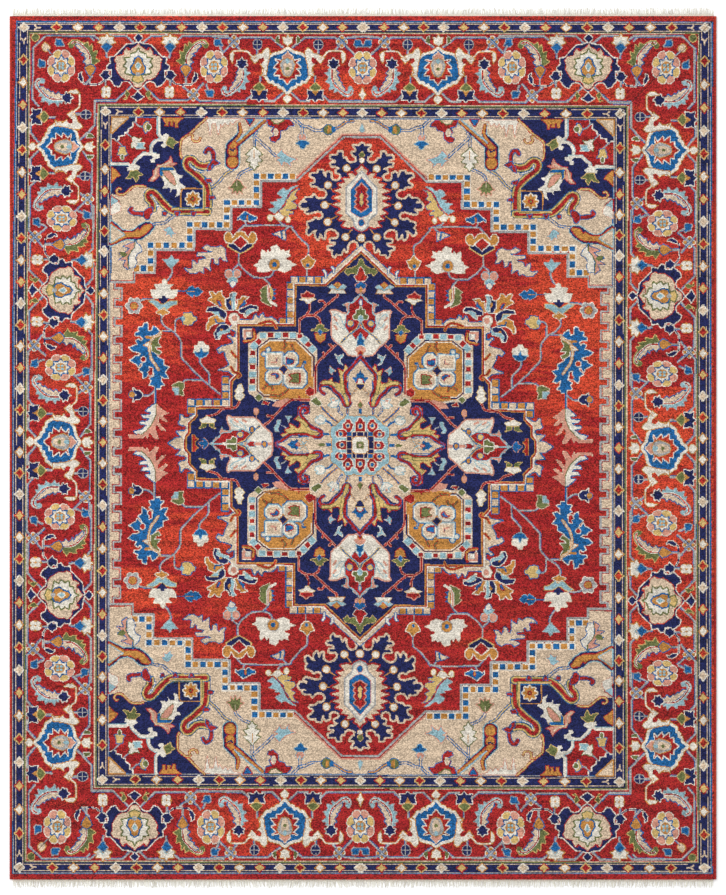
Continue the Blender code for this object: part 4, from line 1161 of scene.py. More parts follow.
def draw_heart(spot):
    """The beige flower in the middle with its red and blue ring."""
    # beige body: four great lobes
    body = [(0, 300), (-16, 284), (-26, 262), (-42, 246), (-44, 190), (-30, 174), (-30, 140), (-44, 128),
            (-54, 132), (-74, 160), (-92, 178), (-112, 196), (-136, 200), (-150, 178), (-172, 168),
            (-176, 140), (-172, 128), (-172, 106), (-192, 108), (-196, 122), (-200, 114), (-196, 100),
            (-178, 78), (-150, 56), (-132, 50), (-122, 34), (-140, 22), (-176, 24), (-184, 30), (-240, 30),
            (-262, 14), (-290, 0), (5, 0), (5, 300)]
    spot.shape(body, BEIGE)
    # scrolls with gold and olive rims, one upright and one level
    upright = curve([(-124, 176), (-134, 182), (-140, 194), (-132, 206), (-112, 208), (-98, 202),
                     (-88, 186), (-72, 172), (-62, 156), (-56, 142), (-46, 134), (-36, 142), (-33, 160),
                     (-42, 176), (-50, 196), (-52, 240), (-44, 254), (-24, 276), (-10, 294), (0, 306)])
    level = curve([(-190, 108), (-182, 112), (-182, 124), (-196, 128), (-206, 116), (-204, 100), (-190, 84),
                   (-178, 70), (-164, 58), (-146, 52), (-132, 42), (-136, 28), (-150, 25), (-172, 30),
                   (-190, 37), (-232, 37), (-250, 28), (-268, 14), (-286, 0)])
    outside_up = [(-144, 190), (-138, 212), (-126, 222), (-112, 218), (-98, 230), (-96, 214), (-72, 212),
                  (-66, 232), (-76, 262), (-58, 252), (-52, 276), (-40, 262), (-22, 286), (-10, 300),
                  (-40, 240), (-50, 200), (-46, 176), (-38, 160), (-46, 140), (-58, 160), (-78, 184),
                  (-98, 208), (-130, 206)]
    outside_level = [(-176, 128), (-196, 136), (-212, 128), (-212, 100), (-226, 86), (-206, 80), (-206, 62),
                     (-216, 54), (-232, 66), (-244, 72), (-240, 56), (-260, 50), (-252, 40), (-272, 34),
                     (-262, 22), (-292, 4), (-262, 20), (-236, 36), (-180, 36), (-150, 28), (-140, 40),
                     (-160, 50), (-186, 74), (-204, 100), (-204, 124)]
    for edge in (outside_up, outside_level):
        spot.shape(edge, GOLD, RED, 3.5)
    for line in (upright, level):
        spot.stroke(line, BLUE, 14)
        spot.stroke(line, RED, 9.5)
    for points in ([(-54, 170), (-46, 150), (-44, 140)], [(-66, 236), (-62, 206), (-58, 182)], [(-128, 214),
            (-104, 214), (-84, 204)], [(-150, 38), (-166, 38), (-176, 44)], [(-244, 44), (-214, 46),
            (-186, 46)], [(-212, 88), (-196, 78), (-186, 66)]):
        spot.stroke(curve(points), OLIVE, 13)
        spot.stroke(curve(points), GOLD, 8.5)
    # white hearts of the lobes
    spot.shape(whole([(0, 290), (14, 276), (28, 260), (41, 244), (41, 190), (30, 172), (0, 172)]), BEIGE,
               BLUE, 3)
    spot.shape(whole([(0, 172), (33, 172), (33, 150), (0, 150)]), BEIGE)
    for side in (1, -1):
        spot.stroke([(8 * side, 200), (29 * side, 172)], ORANGE, 7)
        spot.stroke([(8 * side, 200), (29 * side, 172)], MIST, 3)
    spot.shape(whole([(0, 262), (3, 250), (12, 246), (14, 236), (29, 233), (18, 222), (17, 212), (0, 212)]),
               BLUE)
    spot.shape(whole([(0, 229), (7, 226), (11, 212), (0, 210)]), IVORY, RED, 3.5)
    spot.shape(whole([(0, 211), (15, 211), (12, 202), (5, 192), (0, 190)]), NAVY, GOLD, 2)
    half = [(-286, 0), (-262, 8), (-242, 24), (-180, 26), (-168, 12), (-168, 0), (-168, -10), (-286, -10)]
    spot.shape(half, BEIGE, BLUE, 3)
    spot.shape([(-172, 30), (-160, 22), (-160, -6), (-180, -6), (-180, 22)], BEIGE)
    spot.shape([(-254, 0), (-242, 6), (-236, 14), (-226, 12), (-219, 20), (-212, 12), (-218, 4), (-218, -6),
                (-254, -6)], BLUE)
    spot.shape([(-222, 0), (-214, 5), (-206, 0), (-214, -5)], PINK, RED, 2.5)
    for line in ([(-206, 14), (-192, 2), (-180, 20)], [(-206, 0), (-190, 0)]):
        spot.stroke(line, ORANGE, 6)
        spot.stroke(line, SKY, 3)
    # veins, clovers and pale blooms
    vein = [(-134, 130), (-118, 112), (-96, 92), (-80, 80)]
    spot.stroke(vein, ORANGE, 9)
    spot.stroke(vein, BLUE, 4.5)
    spot.shape([(-152, 164), (-146, 154), (-138, 150), (-132, 140), (-144, 134), (-156, 140), (-170, 150),
                (-162, 158)], OLIVE, IVORY, 2)
    spot.shape([(-110, 138), (-98, 130), (-82, 130), (-76, 140), (-74, 156), (-84, 150), (-92, 160),
                (-104, 158), (-96, 150), (-98, 144)], IVORY, SKY, 3)
    spot.shape([(-152, 78), (-140, 72), (-124, 76), (-120, 90), (-132, 100), (-150, 98), (-140, 92),
                (-154, 88)], IVORY, SKY, 3)
    spot.shape(oval(-92, 154, 5, 4), PINK)
    spot.stroke([(-76, 132), (-74, 118), (-62, 104)], BLUE, 8)
    spot.stroke([(-76, 130), (-73, 118), (-64, 107)], BEIGE, 3)
    spot.stroke([(-118, 82), (-104, 76), (-96, 66)], BLUE, 7)
    spot.stroke([(-46, 128), (-44, 108)], BLUE, 8)
    spot.stroke([(-45, 126), (-44, 110)], ORANGE, 3)
    spot.stroke([(-126, 38), (-108, 36)], BLUE, 8)
    spot.shape(whole([(0, 156), (5, 144), (10, 138), (4, 130), (0, 128)]), OLIVE, PINK, 1.5)
    spot.stroke([(-3, 124), (-3, 110)], BLUE, 5)
    spot.shape([(-148, 0), (-136, 5), (-126, 6), (-120, 0), (-126, -6)], OLIVE)
    spot.stroke([(-116, 3), (-100, 3)], BLUE, 5)
    # ring of red florets on sky, and the eye
    sky = [(5, 103), (-14, 102), (-22, 97), (-30, 103), (-50, 102), (-57, 91), (-66, 87), (-72, 78),
           (-84, 67), (-97, 62), (-102, 50), (-102, 31), (-95, 23), (-97, 10), (-97, -5), (5, -5)]
    spot.shape(sky, SKY, ORANGE, 2.5)
    florets = [([(-48, 88), (-35, 88), (-31, 79), (-25, 73), (-26, 58), (-34, 47), (-44, 40), (-52, 48),
                 (-59, 60), (-59, 73), (-51, 78)], -42, 67), ([(-84, 45), (-75, 47), (-73, 53), (-57, 54),
                                                               (-50, 48), (-43, 40), (-50, 28), (-76, 27),
                                                               (-84, 34)], -67, 38),
               ([(-85, 0), (-76, 13), (-48, 15), (-46, 0), (-48, -15), (-76, -13)], -63, 0),
               (whole([(0, 96), (7, 90), (8, 82), (16, 80), (16, 48), (0, 46)]), 0, 65),]
    for petal, u, v in florets:
        spot.shape(petal, RED, IVORY, 3)
        spot.shape(oval(u, v, 9, 10), BEIGE)
        spot.shape(oval(u, v, 5.5, 6.5), BLUE)
    spot.shape([(5, 44), (-25, 44), (-29, 31), (-45, 29), (-45, -5), (5, -5)], NAVY, BEIGE, 2.5)
    spot.shape([(-44, 44), (-29, 44), (-29, 31), (-44, 31)], BLUE, ORANGE, 2)
    for line in ([(-13, 44), (-13, 28)], [(-45, 13), (-27, 13)], [(-27, 44), (-27, 20)]):
        spot.stroke(line, BEIGE, 3)
    spot.shape([(5, 28), (-18, 28), (-27, 18), (-27, -5), (5, -5)], IVORY, ORANGE, 3)
    spot.shape([(5, 12), (-10, 11), (-13, 4), (-10, -5), (5, -5)], OLIVE, BEIGE, 2)
    spot.shape(oval(0, 0, 5), BEIGE)


def draw_pendant(chart):
    """The navy flame-edged pendant on the long axis, with its beige star and blue heart."""
    spot = Spot(chart, 0, 0)
    edge = [(5, 1045), (-4, 1042), (-10, 1034), (-28, 1037), (-18, 1022), (-22, 1012), (-34, 1013),
            (-28, 1003), (-19, 998), (-17, 985), (-26, 976), (-43, 975), (-53, 983), (-56, 992), (-64, 990),
            (-69, 1000), (-69, 1014), (-79, 1014), (-84, 1001), (-106, 1001), (-108, 993), (-92, 987),
            (-88, 981), (-92, 975), (-106, 975), (-104, 967), (-93, 967), (-80, 961), (-74, 955),
            (-86, 950), (-88, 944), (-76, 940), (-69, 930), (-75, 917), (-88, 912), (-101, 915),
            (-107, 925), (-107, 940), (-116, 944), (-122, 938), (-122, 925), (-131, 931), (-136, 949),
            (-148, 949), (-151, 939), (-172, 938), (-177, 932), (-163, 924), (-158, 916), (-160, 906),
            (-173, 901), (-170, 897), (-152, 896), (-145, 887), (-130, 886), (-120, 878), (-117, 866),
            (-123, 854), (-136, 849), (-152, 851), (-164, 864), (-168, 855), (-192, 853), (-198, 846),
            (-186, 843), (-188, 839), (-206, 838), (-212, 828), (-206, 818), (-184, 820), (-180, 813),
            (-192, 806), (-186, 801), (-166, 806), (-150, 810), (-136, 806), (-129, 795), (-133, 783),
            (-146, 777), (-158, 782), (-165, 775), (-184, 768), (-184, 760), (-178, 751), (-185, 744),
            (-187, 732), (-180, 727), (-172, 735), (-164, 742), (-152, 743), (-158, 732), (-156, 720),
            (-149, 712), (-145, 720), (-143, 731), (-137, 729), (-133, 718), (-127, 714), (-127, 736),
            (-118, 746), (-104, 749), (-88, 743), (-77, 731), (-76, 719), (-84, 711), (-106, 710),
            (-104, 702), (-86, 702), (-88, 692), (-96, 685), (-112, 684), (-112, 678), (-92, 673),
            (-98, 666), (-97, 657), (-91, 651), (-86, 661), (-68, 661), (-67, 671), (-58, 681), (-50, 669),
            (-48, 690), (-40, 703), (-26, 708), (-13, 703), (-7, 690), (-10, 680), (5, 668)]
    spot.shape(edge, NAVY, BEIGE, 7)
    for u, v, r in ((-52, 957, 11), (-116, 899, 11), (-127, 829, 11), (-116, 771, 11), (-54, 719, 11),
                    (0, 716, 12)):
        spot.shape(oval(u, v, r), IVORY, ORANGE, 3.5)
    for a, b in (((-108, 890), (-96, 878)), ((-114, 833), (-94, 833)), ((-106, 778), (-84, 792)),
                 ((-45, 730), (-32, 745)), ((-44, 950), (-30, 936))):
        spot.stroke([a, b], ORANGE, 4)
    spot.shape(whole([(0, 1016), (9, 1008), (8, 999), (0, 995)]), OLIVE, GOLD, 1.5)
    spot.shape(whole([(0, 995), (9, 990), (7, 980), (0, 976)]), IVORY, ORANGE, 1.5)
    star = [(0, 968), (-8, 956), (-20, 950), (-14, 938), (-22, 931), (-32, 940), (-46, 940), (-38, 924),
            (-66, 921), (-56, 908), (-82, 902), (-68, 889), (-96, 880), (-71, 871), (-72, 864), (-98, 855),
            (-72, 848), (-72, 841), (-98, 831), (-74, 821), (-72, 812), (-86, 802), (-62, 794), (-78, 780),
            (-52, 776), (-66, 757), (-44, 752), (-24, 757), (-18, 748), (0, 741)]
    spot.shape(whole([(-u, v) for u, v in star]), BEIGE, RED, 6)
    band = [(0, 944), (-14, 928), (-28, 911), (-50, 889), (-50, 803), (-30, 786), (-22, 774), (-21, 758),
            (-12, 750), (0, 745)]
    spot.shape(whole([(-u, v) for u, v in band]), IVORY, MIST, 6)
    spot.shape(whole([(0, 926), (16, 908), (36, 885), (36, 808), (18, 794), (0, 786)]), BLUE, PINK, 2)
    spot.shape(oval(0, 769, 10, 12), BLUE, PINK, 2)
    leaf = [(0, 905), (7, 896), (20, 886), (13, 874), (21, 862), (13, 852), (21, 842), (15, 832), (23, 824),
            (12, 816), (0, 808)]
    spot.shape(whole(leaf), RED, PINK, 3.5)
    spot.shape(whole([(0, 874), (7, 862), (5, 848), (8, 836), (0, 826)]), GOLD, NAVY, 2)

SIDE_STRIPES = [(1217, RED), (1204.5, BLUE), (1200.5, MIST), (1197.5, NAVY), (1191, BEIGE), (1188, NAVY),
                (1166.5, BEIGE), (1164, NAVY), (1159, OLIVE), (1155.5, BEIGE), (1152.5, RED),
                (917.5, BEIGE), (914.5, OLIVE), (909, NAVY), (903.5, BEIGE), (901, NAVY), (878, BEIGE),
                (875.5, NAVY), (870.5, MIST), (867, BLUE), (863, RED)]


END_STRIPES = [(1490, RED), (1470.5, BLUE), (1466.5, MIST), (1464, NAVY), (1459.5, BEIGE), (1457, NAVY),
               (1437.5, BEIGE), (1435, NAVY), (1431.5, OLIVE), (1427, BEIGE), (1424.5, RED), (1179, BEIGE),
               (1176.5, OLIVE), (1171.5, NAVY), (1167, BEIGE), (1164.5, NAVY), (1139.5, BEIGE),
               (1137, NAVY), (1133.5, MIST), (1130.5, BLUE), (1127.5, RED)]


def stripes(chart):
    for (u, yarn), (v, _) in zip(SIDE_STRIPES, END_STRIPES):
        chart.shape([(-u, v), (0, v), (0, 0), (-u, 0)], yarn)


def outer_vines(chart):
    spot = Spot(chart, 0, 0)
    # corner run of the outer vine, and the corner run of the inner vine
    spot.vine([(-934, 1402), (-950, 1417), (-1100, 1417), (-1142, 1376), (-1143, 1195), (-1122, 1170)], -1)
    spot.vine([(-855, 1189), (-926, 1189), (-926, 1104), (-960, 1068), (-978, 1052)], 1)


def draw_border(chart):
    """The main red border of the quarter and what grows in it."""
    top = lambda u, side: Spot(chart, u, 1306, (side, 0), (0, 1))
    left = lambda v, side, stretch=1.0: Spot(chart, -1037, v, (0, side), (1, 0), stretch, 0.97)
    outer_vines(chart)
    spot = Spot(chart, 0, 0)
    half_cream(top(-778, 1))
    half_cream(top(-778, -1), corner=True)
    half_blue(top(-260, 1))
    half_blue(top(-260, -1))
    half_blue(left(1027, 1, 1.08), corner=True)
    half_blue(left(1027, -1, 0.98))
    half_cream(left(525, 1, 0.96))
    half_cream(left(525, -1, 1.0))
    half_blue(left(2, 1))
    half_blue(left(2, -1))
    palmette_cream(top(-778, 1))
    palmette_blue(top(-260, 1))
    palmette_blue(left(1027, 1))
    palmette_cream(left(525, 1))
    palmette_blue(left(2, 1))
    # rosettes and their small flowers
    rosette_pair(top(-515, 1))
    rosette_pair(left(775, 1))
    rosette_pair(Spot(chart, -1037, 257, (0, -1), (1, 0)))
    small_blue(top(-18, 1).sub(0, 84))
    spot.shape(whole([(0, 1238), (5, 1222), (12, 1214), (5, 1206), (0, 1192)]), IVORY, ORANGE, 3)
    small_blue(Spot(chart, -1054, 1392))
    small_blue(Spot(chart, -1114, 1318, (0, 1), (1, 0)))
    spot.shape(curve([(-1104, 1392), (-1092, 1386), (-1086, 1374), (-1096, 1364), (-1108, 1368),
                      (-1112, 1380)], True), BEIGE, ORANGE, 3)
    spot.vine([(-1094, 1368), (-1080, 1352)], width=4)
    spot.shape(oval(-1136, 1412, 12), OLIVE, GOLD, 2.5)
    for u, v in ((-1045, 1311), (-515, 1310), (0, 1307)):
        rosette(Spot(chart, u, v))
    for v in (775, 257):
        rosette(Spot(chart, -1037, v, (0, 1), (1, 0)), 47, 55)

LOOKS = {"b": (BEIGE, IVORY), "r": (RED, GOLD), "w": (IVORY, ORANGE), "g": (GOLD, RED)}


def draw_guards(chart):
    """The rows of small diamonds in the two guards."""
    for v, first, pitch, ease, count in ((1448.5, 1063, 73.6, 0.2, 16), (1150.5, 775, 73.6, 0.28, 12)):
        diamonds(Spot(chart, 0, v, (-1, 0), (0, 1)), count, first, -pitch, -ease)
    outer = [1333 - 80.5 * k + 0.25 * k * k for k in range(18)]
    inner = [1034, 949, 873, 803, 733, 662, 590, 515, 441, 366, 291, 217, 145, 72, 0]
    for u, places, order in ((-1177, outer, "rwgb" * 5), (-889, inner, "rwgwrbgwrwgbrwg")):
        spot = Spot(chart, u, 0, (0, 1), (-1, 0))
        for v, look in zip(places, order):
            diamond(spot.sub(v, 0), *LOOKS[look])
    for u, v in ((-1177, 1447), (-889, 1151)):
        diamond(Spot(chart, u, v, (-1, 0), (0, 1)), BEIGE, IVORY)
        for along, out in (((1, 0), (0, 1)), ((0, -1), (-1, 0))):
            mark = Spot(chart, u, v, along, out)
            mark.stroke([(38, 7), (47, 0), (58, 0)], BEIGE, 5)
            mark.stroke([(38, -7), (47, 0)], BEIGE, 5)


def draw(chart):
    """The whole chart of one quarter."""
    stripes(chart)
    draw_guards(chart)
    draw_border(chart)
    draw_field(chart)
    draw_spandrel(chart)
    draw_corner(chart)
    draw_pendant(chart)
    draw_medallion(chart)
    draw_flames(chart)

# ---- the knotted pile ----------------------------------------------------------------------------
MM = 0.001
KNOT = 0.0027                  # pitch of the knots both ways
KNOT_RISE = 0.0009             # how unevenly the pile is clipped
KNOT_WANDER = 0.00035          # how far a knot strays from its row
WALL_LEAN = 0.15               # how far the sides of a pile area lean in, as a share of a knot
RANDOM = np.random.default_rng(31)

# A weaver's rows never stay true, so the design creeps from its chart: its middle lies off the rug's,
# its columns lean, its rows slope, and both bow. In millimetres, per metre or per square metre.
SHIFT_ACROSS = -10
SHIFT_ALONG = 9
LEAN = 3                       # of the columns
TWIST = -2                     # how the lean changes across the rug
BOW_ACROSS = 3
SLOPE = -11                    # of the rows
SLOPE_EASE = 0.45              # how the slope fades towards the ends
BOW_ALONG = -4

# Where the red wool runs to orange: centre x and y, half width, half height, and how far.
LOT_EDGE = 0.05
WARM_LOTS = [(-0.165, 0.80, 0.075, 0.16, 0.9), (0.02, 1.02, 0.15, 0.06, 0.5), (0.12, 0.95, 0.07, 0.07, 0.8),
             (0.26, 0.78, 0.09, 0.06, 0.7), (0.10, 0.66, 0.14, 0.06, 0.55), (-0.13, 0.68, 0.12, 0.05, 0.6),
             (-0.735, 0.51, 0.125, 0.09, 0.95), (-0.54, 0.52, 0.09, 0.06, 0.5), (-0.73, 0.36, 0.10, 0.07,
        0.55), (-0.80, 0.28, 0.06, 0.05, 0.6), (0.715, 0.50, 0.145, 0.18, 0.95), (0.775, 0.23, 0.08, 0.11,
        0.95), (0.665, 0.16, 0.09, 0.10, 0.6), (0.50, 0.50, 0.09, 0.06, 0.55), (0.63, 0.34, 0.05, 0.08,
        0.75), (-0.59, -0.32, 0.16, 0.09, 0.7), (-0.75, -0.51, 0.08, 0.08, 0.85), (-0.60, -0.69, 0.11, 0.05,
        0.7), (-0.46, -0.53, 0.08, 0.05, 0.4), (0.40, -0.65, 0.10, 0.03, 0.35), (1.03, 0.60, 0.16, 0.10,
        0.6), (1.03, 0.07, 0.15, 0.13, 0.95), (1.02, -0.25, 0.16, 0.19, 0.75), (1.05, -0.58, 0.15, 0.14,
        0.5), (1.03, 1.03, 0.16, 0.08, 0.45), (-0.14, 1.24, 0.19, 0.05, 0.9), (0.30, 1.32, 0.20, 0.08,
        0.35), (-0.77, 1.40, 0.12, 0.05, 0.6), (-0.63, 1.22, 0.09, 0.04, 0.7), (0.75, 1.25, 0.15, 0.06,
        0.6), (-1.04, 0.55, 0.14, 0.15, 0.6), (-1.04, 0.25, 0.14, 0.08, 0.55), (-0.44, -1.30, 0.16, 0.10,
        0.5), (1.205, -0.3, 0.02, 1.1, 0.8), (-1.205, 0.3, 0.02, 0.9, 0.5), (0.0, 1.48, 1.2, 0.015, 0.35),]


def creep(x, y):
    """How far the design has crept at a place, across and along, in millimetres."""
    across = SHIFT_ACROSS + LEAN * y + TWIST * x * y + BOW_ACROSS * (x ** 2 + y ** 2)
    along = SHIFT_ALONG + SLOPE * x * (1 - SLOPE_EASE * y ** 2) + BOW_ALONG * y ** 2
    return across, along


def waves(across, along, size, seed):
    """Smooth random values about 0, in patches of a size given as (across, along)."""
    draw = np.random.default_rng(seed)
    total = 0.0
    for _ in range(7):
        turn_a = 2 * pi * draw.uniform(0.5, 1.3) / size[0] * draw.choice((-1, 1))
        turn_b = 2 * pi * draw.uniform(0.5, 1.3) / size[1]
        total = total + np.sin(across * turn_a + along * turn_b + draw.uniform(0, 2 * pi))
    return total / 2.6


class Knots:
    """Every knot of the rug: its place, its yarn, and its tone and warmth, from how the yarn took the
    dyeing and from painted shade and highlights.
    """

    def __init__(self, low, high, top, chart):
        self.cols = round((high.x - low.x) / KNOT)
        self.rows = round((high.y - low.y) / KNOT)
        xs = np.linspace(low.x, high.x, self.cols + 1)
        ys = np.linspace(low.y, high.y, self.rows + 1)
        self.x = (xs[:-1] + xs[1:])[None, :] / 2 + np.zeros((self.rows, 1))
        self.y = (ys[:-1] + ys[1:])[:, None] / 2 + np.zeros((1, self.cols))
        self.yarn = self.look_up(chart)
        self.tone, self.abrash = self.dye_and_shade()
        self.corner = self.corners(xs, ys, top)

    def look_up(self, chart):
        """The yarn of each knot, from the mirrored chart with its creep taken off."""
        u, v = self.x, self.y
        for _ in range(2):
            across, along = creep(u, v)
            u, v = self.x - MM * across, self.y - MM * along
        col = np.clip((np.abs(u) / MM / CELL).astype(int), 0, chart.cols - 1)
        row = np.clip((np.abs(v) / MM / CELL).astype(int), 0, chart.rows - 1)
        return chart.yarn[row, col]

    def dye_and_shade(self):
        """Tone of each knot from 0, dark, to 1, light, and how far its red runs to orange. The tone mixes
        uneven dyeing with painted shade for the pits between knots and painted highlights for light off
        their tips.
        """
        shape = self.yarn.shape
        # Painted shade mixed with the wool's own uneven colour: the wide spread of tone makes some knots as
        # dark as the shaded pits between knots.
        pair = RANDOM.standard_normal(shape)
        tone = 0.41 + 0.22 * RANDOM.standard_normal(shape) + 0.13 * (pair + np.roll(pair, 1, 1))
        tone += 0.05 * RANDOM.standard_normal((self.rows, 1))
        tone += 0.08 * waves(self.x, self.y, (0.5, 0.05), 3)
        flecked = (RANDOM.random(shape) < 0.10) & np.isin(self.yarn, (BEIGE, GOLD))
        tone[flecked] -= 0.55
        # Painted highlights and cotton: light specks in the dark yarns stand for light off the knots' tips
        # and for cotton showing through.
        highlight_and_cotton_specks = (RANDOM.random(shape) < 0.06) & np.isin(self.yarn, (RED, NAVY, BLUE))
        tone[highlight_and_cotton_specks] += 0.7
        # The red wool changes from lot to lot, with ragged edges along the rows of knots.
        abrash = np.zeros(shape)
        ragged = 0.030 * waves(self.x, self.y, (0.4, 0.05), 12) + 0.016 * waves(self.x, self.y,
                (0.12, 0.02), 14)
        for x, y, half_x, half_y, strength in WARM_LOTS:
            depth = np.minimum(half_x - np.abs(self.x - x), half_y - np.abs(self.y - y)) + ragged
            abrash = np.maximum(abrash, strength * np.clip(0.5 + depth / LOT_EDGE, 0, 1))
        abrash += 0.10 * waves(self.x, self.y, (0.35, 0.06), 15) + 0.07 * waves(self.x, self.y,
                (0.1, 0.012), 16)
        abrash = np.clip(0.06 + abrash + 0.08 * RANDOM.standard_normal(shape), 0, 1)
        return np.clip(tone, 0, 1).astype(np.float32), abrash.astype(np.float32)

    def corners(self, xs, ys, top):
        """The places of the knots' corners, a little uneven."""
        shape = (self.rows + 1, self.cols + 1)
        place = np.empty(shape + (3,))
        place[..., 0] = xs[None, :]
        place[..., 1] = ys[:, None]
        place[..., 2] = top
        wander = RANDOM.uniform(-1, 1, shape + (2,)) * KNOT_WANDER
        wander[0] = wander[-1] = 0
        wander[:, 0] = wander[:, -1] = 0
        place[..., :2] += wander
        place[..., 2] -= RANDOM.random(shape) * KNOT_RISE
        place[1::2, :, 2] -= KNOT_RISE / 3
        return place


def outline_edges(node):
    """The edges round a pile area, seen from above, from its CAD solid's top faces."""
    mesh = frame["nodes"][node].data
    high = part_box(node)[1].z - 0.0001
    seen = {}
    for face in mesh.polygons:
        if face.normal.z < 0.5:
            continue
        ring = [tuple(round(c, 6) for c in mesh.vertices[i].co[:2]) for i in face.vertices]
        if min(mesh.vertices[i].co.z for i in face.vertices) < high:
            continue
        for start, end in zip(ring, ring[1:] + ring[:1]):
            key = (min(start, end), max(start, end))
            seen[key] = seen.get(key, 0) + 1
    return [edge for edge, count in seen.items() if count == 1]


def cover(edges, x, y):
    """Whether each place lies within the edges."""
    odd = np.zeros(x.shape, bool)
    for (x0, y0), (x1, y1) in edges:
        if y0 == y1:
            continue
        crossing = x0 + (y - y0) * (x1 - x0) / (y1 - y0)
        odd ^= (y >= min(y0, y1)) & (y < max(y0, y1)) & (x < crossing)
    return odd


def share_out(knots, nodes):
    """Which pile area each knot belongs to, as a number from 0."""
    owner = np.full(knots.x.shape, -1)
    outlines = [outline_edges(node) for node in nodes]
    for reach in (0.0, 0.0004, -0.0004, 0.0008, -0.0008):
        for index, edges in enumerate(outlines):
            low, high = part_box(nodes[index])
            c0, c1 = np.searchsorted(knots.x[0], (low.x - 0.002, high.x + 0.002))
            r0, r1 = np.searchsorted(knots.y[:, 0], (low.y - 0.002, high.y + 0.002))
            window = (slice(r0, r1), slice(c0, c1))
            free = owner[window] < 0
            if not free.any():
                continue
            found = cover(edges, knots.x[window] + reach, knots.y[window] + reach)
            owner[window][free & found] = index
    return owner


def fill_mesh(name, places, loops, sizes):
    """A mesh from arrays of places and faces."""
    mesh = bpy.data.meshes.new(name)
    mesh.vertices.add(len(places))
    mesh.vertices.foreach_set("co", np.ascontiguousarray(places, np.float32).ravel())
    mesh.loops.add(len(loops))
    mesh.loops.foreach_set("vertex_index", np.ascontiguousarray(loops, np.int32))
    mesh.polygons.add(len(sizes))
    starts = np.concatenate(([0], np.cumsum(sizes)[:-1])).astype(np.int32)
    mesh.polygons.foreach_set("loop_start", starts)
    mesh.polygons.foreach_set("loop_total", np.ascontiguousarray(sizes, np.int32))
    mesh.update(calc_edges=True)
    mesh.validate()
    return mesh


def face_values(mesh, name, values):
    """A number for each face, for the materials to read."""
    mesh.attributes.new(name, "FLOAT", "FACE").data.foreach_set("value", values.astype(np.float32))


def flat_uv(mesh, places, loops):
    """A map of the mesh seen from above, filling the unit square."""
    low, high = places[:, :2].min(0), places[:, :2].max(0)
    spread = (places[:, :2] - low) / (high - low)
    mesh.uv_layers.new(name="OFBake").data.foreach_set("uv", spread[loops].astype(np.float32).ravel())


def pile_mesh(node, knots, mine, bottom):
    """One area of pile: its knots, and walls of yarn down its edges."""
    rows, cols = np.nonzero(mine)
    wide = knots.cols + 1
    base = rows * wide + cols
    faces = [np.stack((base, base + 1, base + wide + 1, base + wide), 1)]
    source = [base * 0 + np.arange(len(base))]
    count = (knots.rows + 1) * wide
    padded = np.pad(mine, 1)
    steps = (((-1, 0), 0, 1), ((0, 1), 1, wide + 1), ((1, 0), wide + 1, wide), ((0, -1), wide, 0))
    for (down, right), first, second in steps:
        edge = ~padded[rows + 1 + down, cols + 1 + right]
        a, b = base[edge] + first, base[edge] + second
        faces.append(np.stack((b, a, a + count, b + count), 1))
        source.append(np.nonzero(edge)[0])
    faces = np.concatenate(faces)
    source = np.concatenate(source)
    used, loops = np.unique(faces, return_inverse=True)
    loops = loops.ravel()
    top = used[used < count]
    foot = used[used >= count] - count
    places = knots.corner.reshape(-1, 3)[np.concatenate((top, foot))]
    feet = places[len(top):]
    feet[:, 2] = bottom
    # The foot of a wall leans in towards the middle of the knots it belongs to.
    middle = np.zeros((count, 3))
    for step in (0, 1, wide, wide + 1):
        np.add.at(middle, base + step, np.stack((knots.x[rows, cols], knots.y[rows, cols], rows * 0 + 1.0),
                                                1))
    lean = middle[foot, :2] / middle[foot, 2:] - feet[:, :2]
    feet[:, :2] += lean * WALL_LEAN
    mesh = fill_mesh(node, places, loops, np.full(len(faces), 4))
    yarn = knots.yarn[rows, cols][source]
    mesh.polygons.foreach_set("material_index", yarn.astype(np.int32))
    face_values(mesh, "tone", knots.tone[rows, cols][source])
    face_values(mesh, "abrash", knots.abrash[rows, cols][source])
    flat_uv(mesh, places, loops)
    return mesh


def add_piece(name, mesh, slot, *nodes):
    """Show a mesh in place of CAD nodes, moving with the rug."""
    piece = bpy.data.objects.new(name, mesh)
    bpy.context.scene.collection.objects.link(piece)
    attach(piece, "root")
    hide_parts(*nodes)
    return piece


def make_pile(chart, yarns):
    """All of the knotted pile, one piece for each pile area of the frame."""
    nodes = sorted(node for node in frame["nodes"] if "_pile" in node)
    low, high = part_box("woven_foundation")
    bottom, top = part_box("field_pile")[0].z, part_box("field_pile")[1].z
    knots = Knots(low, high, top, chart)
    owner = share_out(knots, nodes)
    slots = {part["node"]: part["material_slot"] for part in frame["record"]["subparts"]}
    made = []
    for index, node in enumerate(nodes):
        mesh = pile_mesh(f"{node}_knots", knots, owner == index, bottom)
        for material in yarns:
            mesh.materials.append(material)
        made.append(add_piece(f"{node}_knots", mesh, slots[node], node))
    return made

# ---- the cotton and the edges ----------------------------------------------------------------------
STRAND_PITCH = 0.0040          # of the warp ends in the fringe
STRAND_RADIUS = 0.00095
STRAND_SIDES = 5
STRAND_STEPS = 6
WRAP_PITCH = 0.0026            # of the turns of wool round a side cord
WRAP_SIDES = 12
RIB_PITCH = 0.0040             # of the warps under the kilim
STITCH_PITCH = 0.0075


